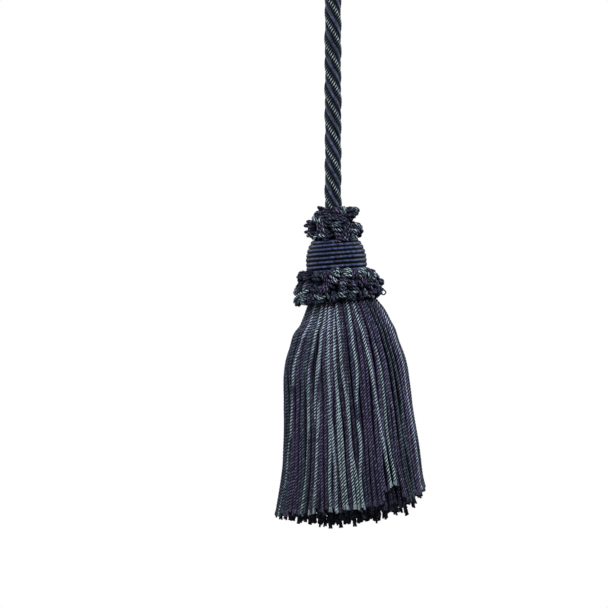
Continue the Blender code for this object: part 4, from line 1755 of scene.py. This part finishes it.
    def inner_runs(self) -> list[YarnRun]:
        """Hangs the inner strands, twisted closely near their ends, where they show.

        Returns:
            A length of yarn for each.
        """
        chance = random.Random(self.inner_seed)
        runs = []
        for index, (count, ring, end_share) in enumerate(self.inner_rings):
            shown = self.shown_length if index < self.shown_rings else self.hidden_length
            openness = self.inner_openness if index else self.first_ring_openness
            for k in range(count):
                shift = 0.5 * (index % 2) + chance.uniform(-self.inner_shift, self.inner_shift)
                bearing = math.tau * (k + shift) / count
                strand = Strand(bearing, bearing, ring * MM, end_share=end_share)
                depth = self.end_depth(end_share * self.end_radius(), bearing, False)
                depth += chance.gauss(0.0, self.inner_end_scatter) * self.end_unevenness
                shaft = np.arange(self.heading_top, depth - shown, self.shaft_step)
                tip = np.arange(depth - shown, depth, self.tip_step)
                line = self.strand_line(strand, np.concatenate([shaft, tip]), chance)
                turned = np.maximum(0.0, distances(line) - distances(line)[len(shaft)])
                twist = math.tau * (turned / self.lay + chance.random())
                dye = chance.choices(list(Dye), self.inner_dye_shares)[0]
                tone = chance.uniform(*self.inner_shade_tones)
                runs.append(self.strand_run(line, twist, openness, tone, dye))
        return runs

    def tip_runs(
        self, strands: list[YarnRun], splay: float, chance: random.Random
    ) -> list[YarnRun]:
        """Splits the cut ends of strands into plies, which splay a little.

        Args:
            strands: The strands whose ends are split.
            splay: How far a ply bends out.
            chance: Where the plies' unevenness comes from.

        Returns:
            A short length of yarn for each ply of each strand.
        """
        near, far = self.ply_offsets
        runs = []
        for strand in strands:
            end = strand.line[-1]
            down = end - strand.line[-self.end_span]
            down /= np.linalg.norm(down)
            side = np.cross(down, [0.0, 1.0, 0.0])
            side /= np.linalg.norm(side)
            front = np.cross(down, side)
            start = chance.uniform(0.0, math.tau)
            for ply in range(self.plies):
                turn = start + math.tau * ply / self.plies
                length = chance.uniform(*self.ply_lengths_mm) * MM
                out = chance.uniform(*self.ply_splay) * splay
                way = math.cos(turn) * side + math.sin(turn) * front
                points = np.array([
                    end - down * self.ply_root + way * near,
                    end + way * far,
                    end + down * length + way * (far + out),
                ])
                line = smooth_line(points, self.ply_step)
                twist = np.full(len(line), turn)
                fullness = np.linspace(1.0, chance.uniform(*self.ply_tips), len(line))
                # The plies carry their strand's painted shade.
                outside = np.tile(strand.outside[-1], (len(line), 1))
                runs.append(YarnRun(line, twist, fullness, outside, strand.tone, strand.dye))
        return runs

    def build(self) -> None:
        """Makes the skirt's pieces and dresses them."""
        # Plied cotton: matt, with slanting flecks that the fibres break up, and painted shade
        # between the strands.
        finishes = yarn_finishes(
            "plied_cotton_skirt", self.plies, tone_low=1.01, tone_high=1.68, shade_start=0.1,
            shade_end=0.85, shade_level=0.36, fibre_contrast=0.65,
        )
        # The same yarn, painted darker as the shade under the outer strands.
        shaded = yarn_finishes("plied_cotton_painted_shade", self.plies, tone_low=0.5, tone_high=0.9)
        # Cut cotton plies: dark and without flecks, partly as their cut fibres take the light in,
        # and partly painted shade among the cut ends.
        cut = yarn_finishes(
            "cut_cotton_plies", self.ply_sides, tone_low=0.24, tone_high=0.52, **PLAIN_CRESTS
        )
        outer, inner = self.outer_runs(), self.inner_runs()
        chance = random.Random(self.ply_seed)
        tips = self.tip_runs(outer, self.outer_splay, chance)
        tips += self.tip_runs(inner, self.inner_splay, chance)
        above, below = self.heading_insets
        heading = heading_winding(
            self.heading_radius, self.heading_top + above, self.heading_bottom - below,
            self.heading_turns, self.heading_steps, self.heading_tone,
        )
        section = YarnSection(self.strand_radius, self.plies, groove_share=0.60)
        coarse = YarnSection(
            self.strand_radius, self.plies, points_per_ply=2, groove_share=0.62
        )
        ply = YarnSection(self.ply_radius, self.ply_sides, points_per_ply=1, groove_share=1.0)
        thread = YarnSection(self.thread_radius, self.plies, points_per_ply=2, groove_share=0.8)
        pieces = [
            (
                f"skirt_{dye.name.lower()}_strands",
                [run for run in outer if run.dye == dye.value], section, finishes,
            )
            for dye in Dye
        ]
        pieces.append(("skirt_inner_strands", inner, coarse, shaded))
        pieces.append(("skirt_cut_ends", tips, ply, cut))
        pieces.append(("skirt_heading_thread", [heading], thread, finishes))
        for name, runs, outline, dress in pieces:
            place_piece(sweep_yarn(name, runs, outline, dress), "skirt_yarn", "skirt")


@dataclass
class Studio:
    """A plain pale floor, a white surround and soft lights."""

    # Low and small enough to leave the whole tassel in sight from well below.
    floor_height: float = -600.0 * MM
    floor_radius: float = 190.0 * MM
    floor_depth: float = 20.0 * MM
    floor_corners: int = 96
    lens_mm: float = 300.0
    sensor_mm: float = 36.0
    clip_start: float = 0.05
    clip_end: float = 20.0
    surround_light: float = 0.25
    # Where the lights point: the middle of the tassel.
    aim: tuple[float, float, float] = (0.0, 0.0, -0.19)
    lights: tuple[tuple[str, tuple[float, float, float], float, float], ...] = (
        # name, place in metres, side of the square in metres, power in watts
        ("key_light", (0.20, -0.90, 0.60), 0.40, 12.0),
        ("fill_light", (-0.80, -0.70, 0.15), 0.60, 3.5),
        ("right_light", (1.00, 0.35, 0.20), 0.60, 8.0),
        ("left_light", (-1.00, 0.45, 0.20), 0.60, 6.0),
        ("back_light", (0.00, 1.10, 0.40), 0.60, 11.0),
    )

    def add_camera(self) -> None:
        """Adds the camera at the photograph's level, straight on."""
        data = bpy.data.cameras.new("camera")
        data.lens = self.lens_mm
        data.sensor_width = self.sensor_mm
        data.clip_start = self.clip_start
        data.clip_end = self.clip_end
        camera = bpy.data.objects.new("camera", data)
        away = PICTURE_WIDTH * self.lens_mm / self.sensor_mm
        camera.location = (PICTURE_MIDDLE_X, -away, PICTURE_MIDDLE_Z)
        camera.rotation_euler = (math.radians(90.0), 0.0, 0.0)
        bpy.context.scene.collection.objects.link(camera)
        bpy.context.scene.camera = camera

    def add_floor(self) -> None:
        """Adds the floor, well below the tassel."""
        deselect()
        bpy.ops.mesh.primitive_cylinder_add(
            vertices=self.floor_corners, radius=self.floor_radius, depth=self.floor_depth,
            location=(0.0, 0.0, self.floor_height - 0.5 * self.floor_depth),
        )
        floor = bpy.context.object
        floor.name = "floor"
        # Matt emulsion, rolled on: pale and even, without a reflection of the tassel.
        paint = bpy.data.materials.new("matt_rolled_emulsion")
        paint.use_nodes = True
        shader = paint.node_tree.nodes["Principled BSDF"]
        shader.inputs["Base Color"].default_value = srgb("f4f4f4")
        shader.inputs["Roughness"].default_value = 0.9
        floor.data.materials.append(paint)

    def add_lights(self) -> None:
        """Adds the soft square lights, each turned to the tassel."""
        for name, place, side, watts in self.lights:
            data = bpy.data.lights.new(name, "AREA")
            data.size = side
            data.energy = watts
            light = bpy.data.objects.new(name, data)
            light.location = place
            towards = Vector(self.aim) - Vector(place)
            light.rotation_euler = towards.to_track_quat("-Z", "Y").to_euler()
            bpy.context.scene.collection.objects.link(light)

    def add_surround(self) -> None:
        """Adds the surround, which looks white and lights the tassel evenly."""
        world = bpy.data.worlds.new("white_surround")
        world.use_nodes = True
        tree = world.node_tree
        tree.nodes.clear()
        white = srgb("ffffff")
        ray = add_node(tree, "ShaderNodeLightPath")
        lit = add_node(
            tree, "ShaderNodeBackground", {"Color": white, "Strength": self.surround_light}
        )
        seen = add_node(tree, "ShaderNodeBackground", {"Color": white, "Strength": 1.0})
        mixed = add_node(tree, "ShaderNodeMixShader", {}, {
            0: ray.outputs["Is Camera Ray"], 1: lit.outputs[0], 2: seen.outputs[0],
        })
        add_node(tree, "ShaderNodeOutputWorld", {}, {"Surface": mixed.outputs[0]})
        bpy.context.scene.world = world

    def build(self) -> None:
        """Sets up the floor, the surround and the lights."""
        self.add_floor()
        self.add_surround()
        self.add_lights()
        bpy.context.scene.view_settings.view_transform = "Standard"


def main() -> None:
    """Builds the tassel's looks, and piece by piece."""
    logging.basicConfig(level=logging.INFO, format="%(name)s: %(message)s")
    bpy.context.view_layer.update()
    studio = Studio()
    studio.add_camera()
    HangingRope().build(LoopWhipping().build())
    UpperRuff().build()
    WoundHead().build()
    LowerRuff().build()
    TasselSkirt().build()
    studio.build()


if __name__ == "__main__":
    main()
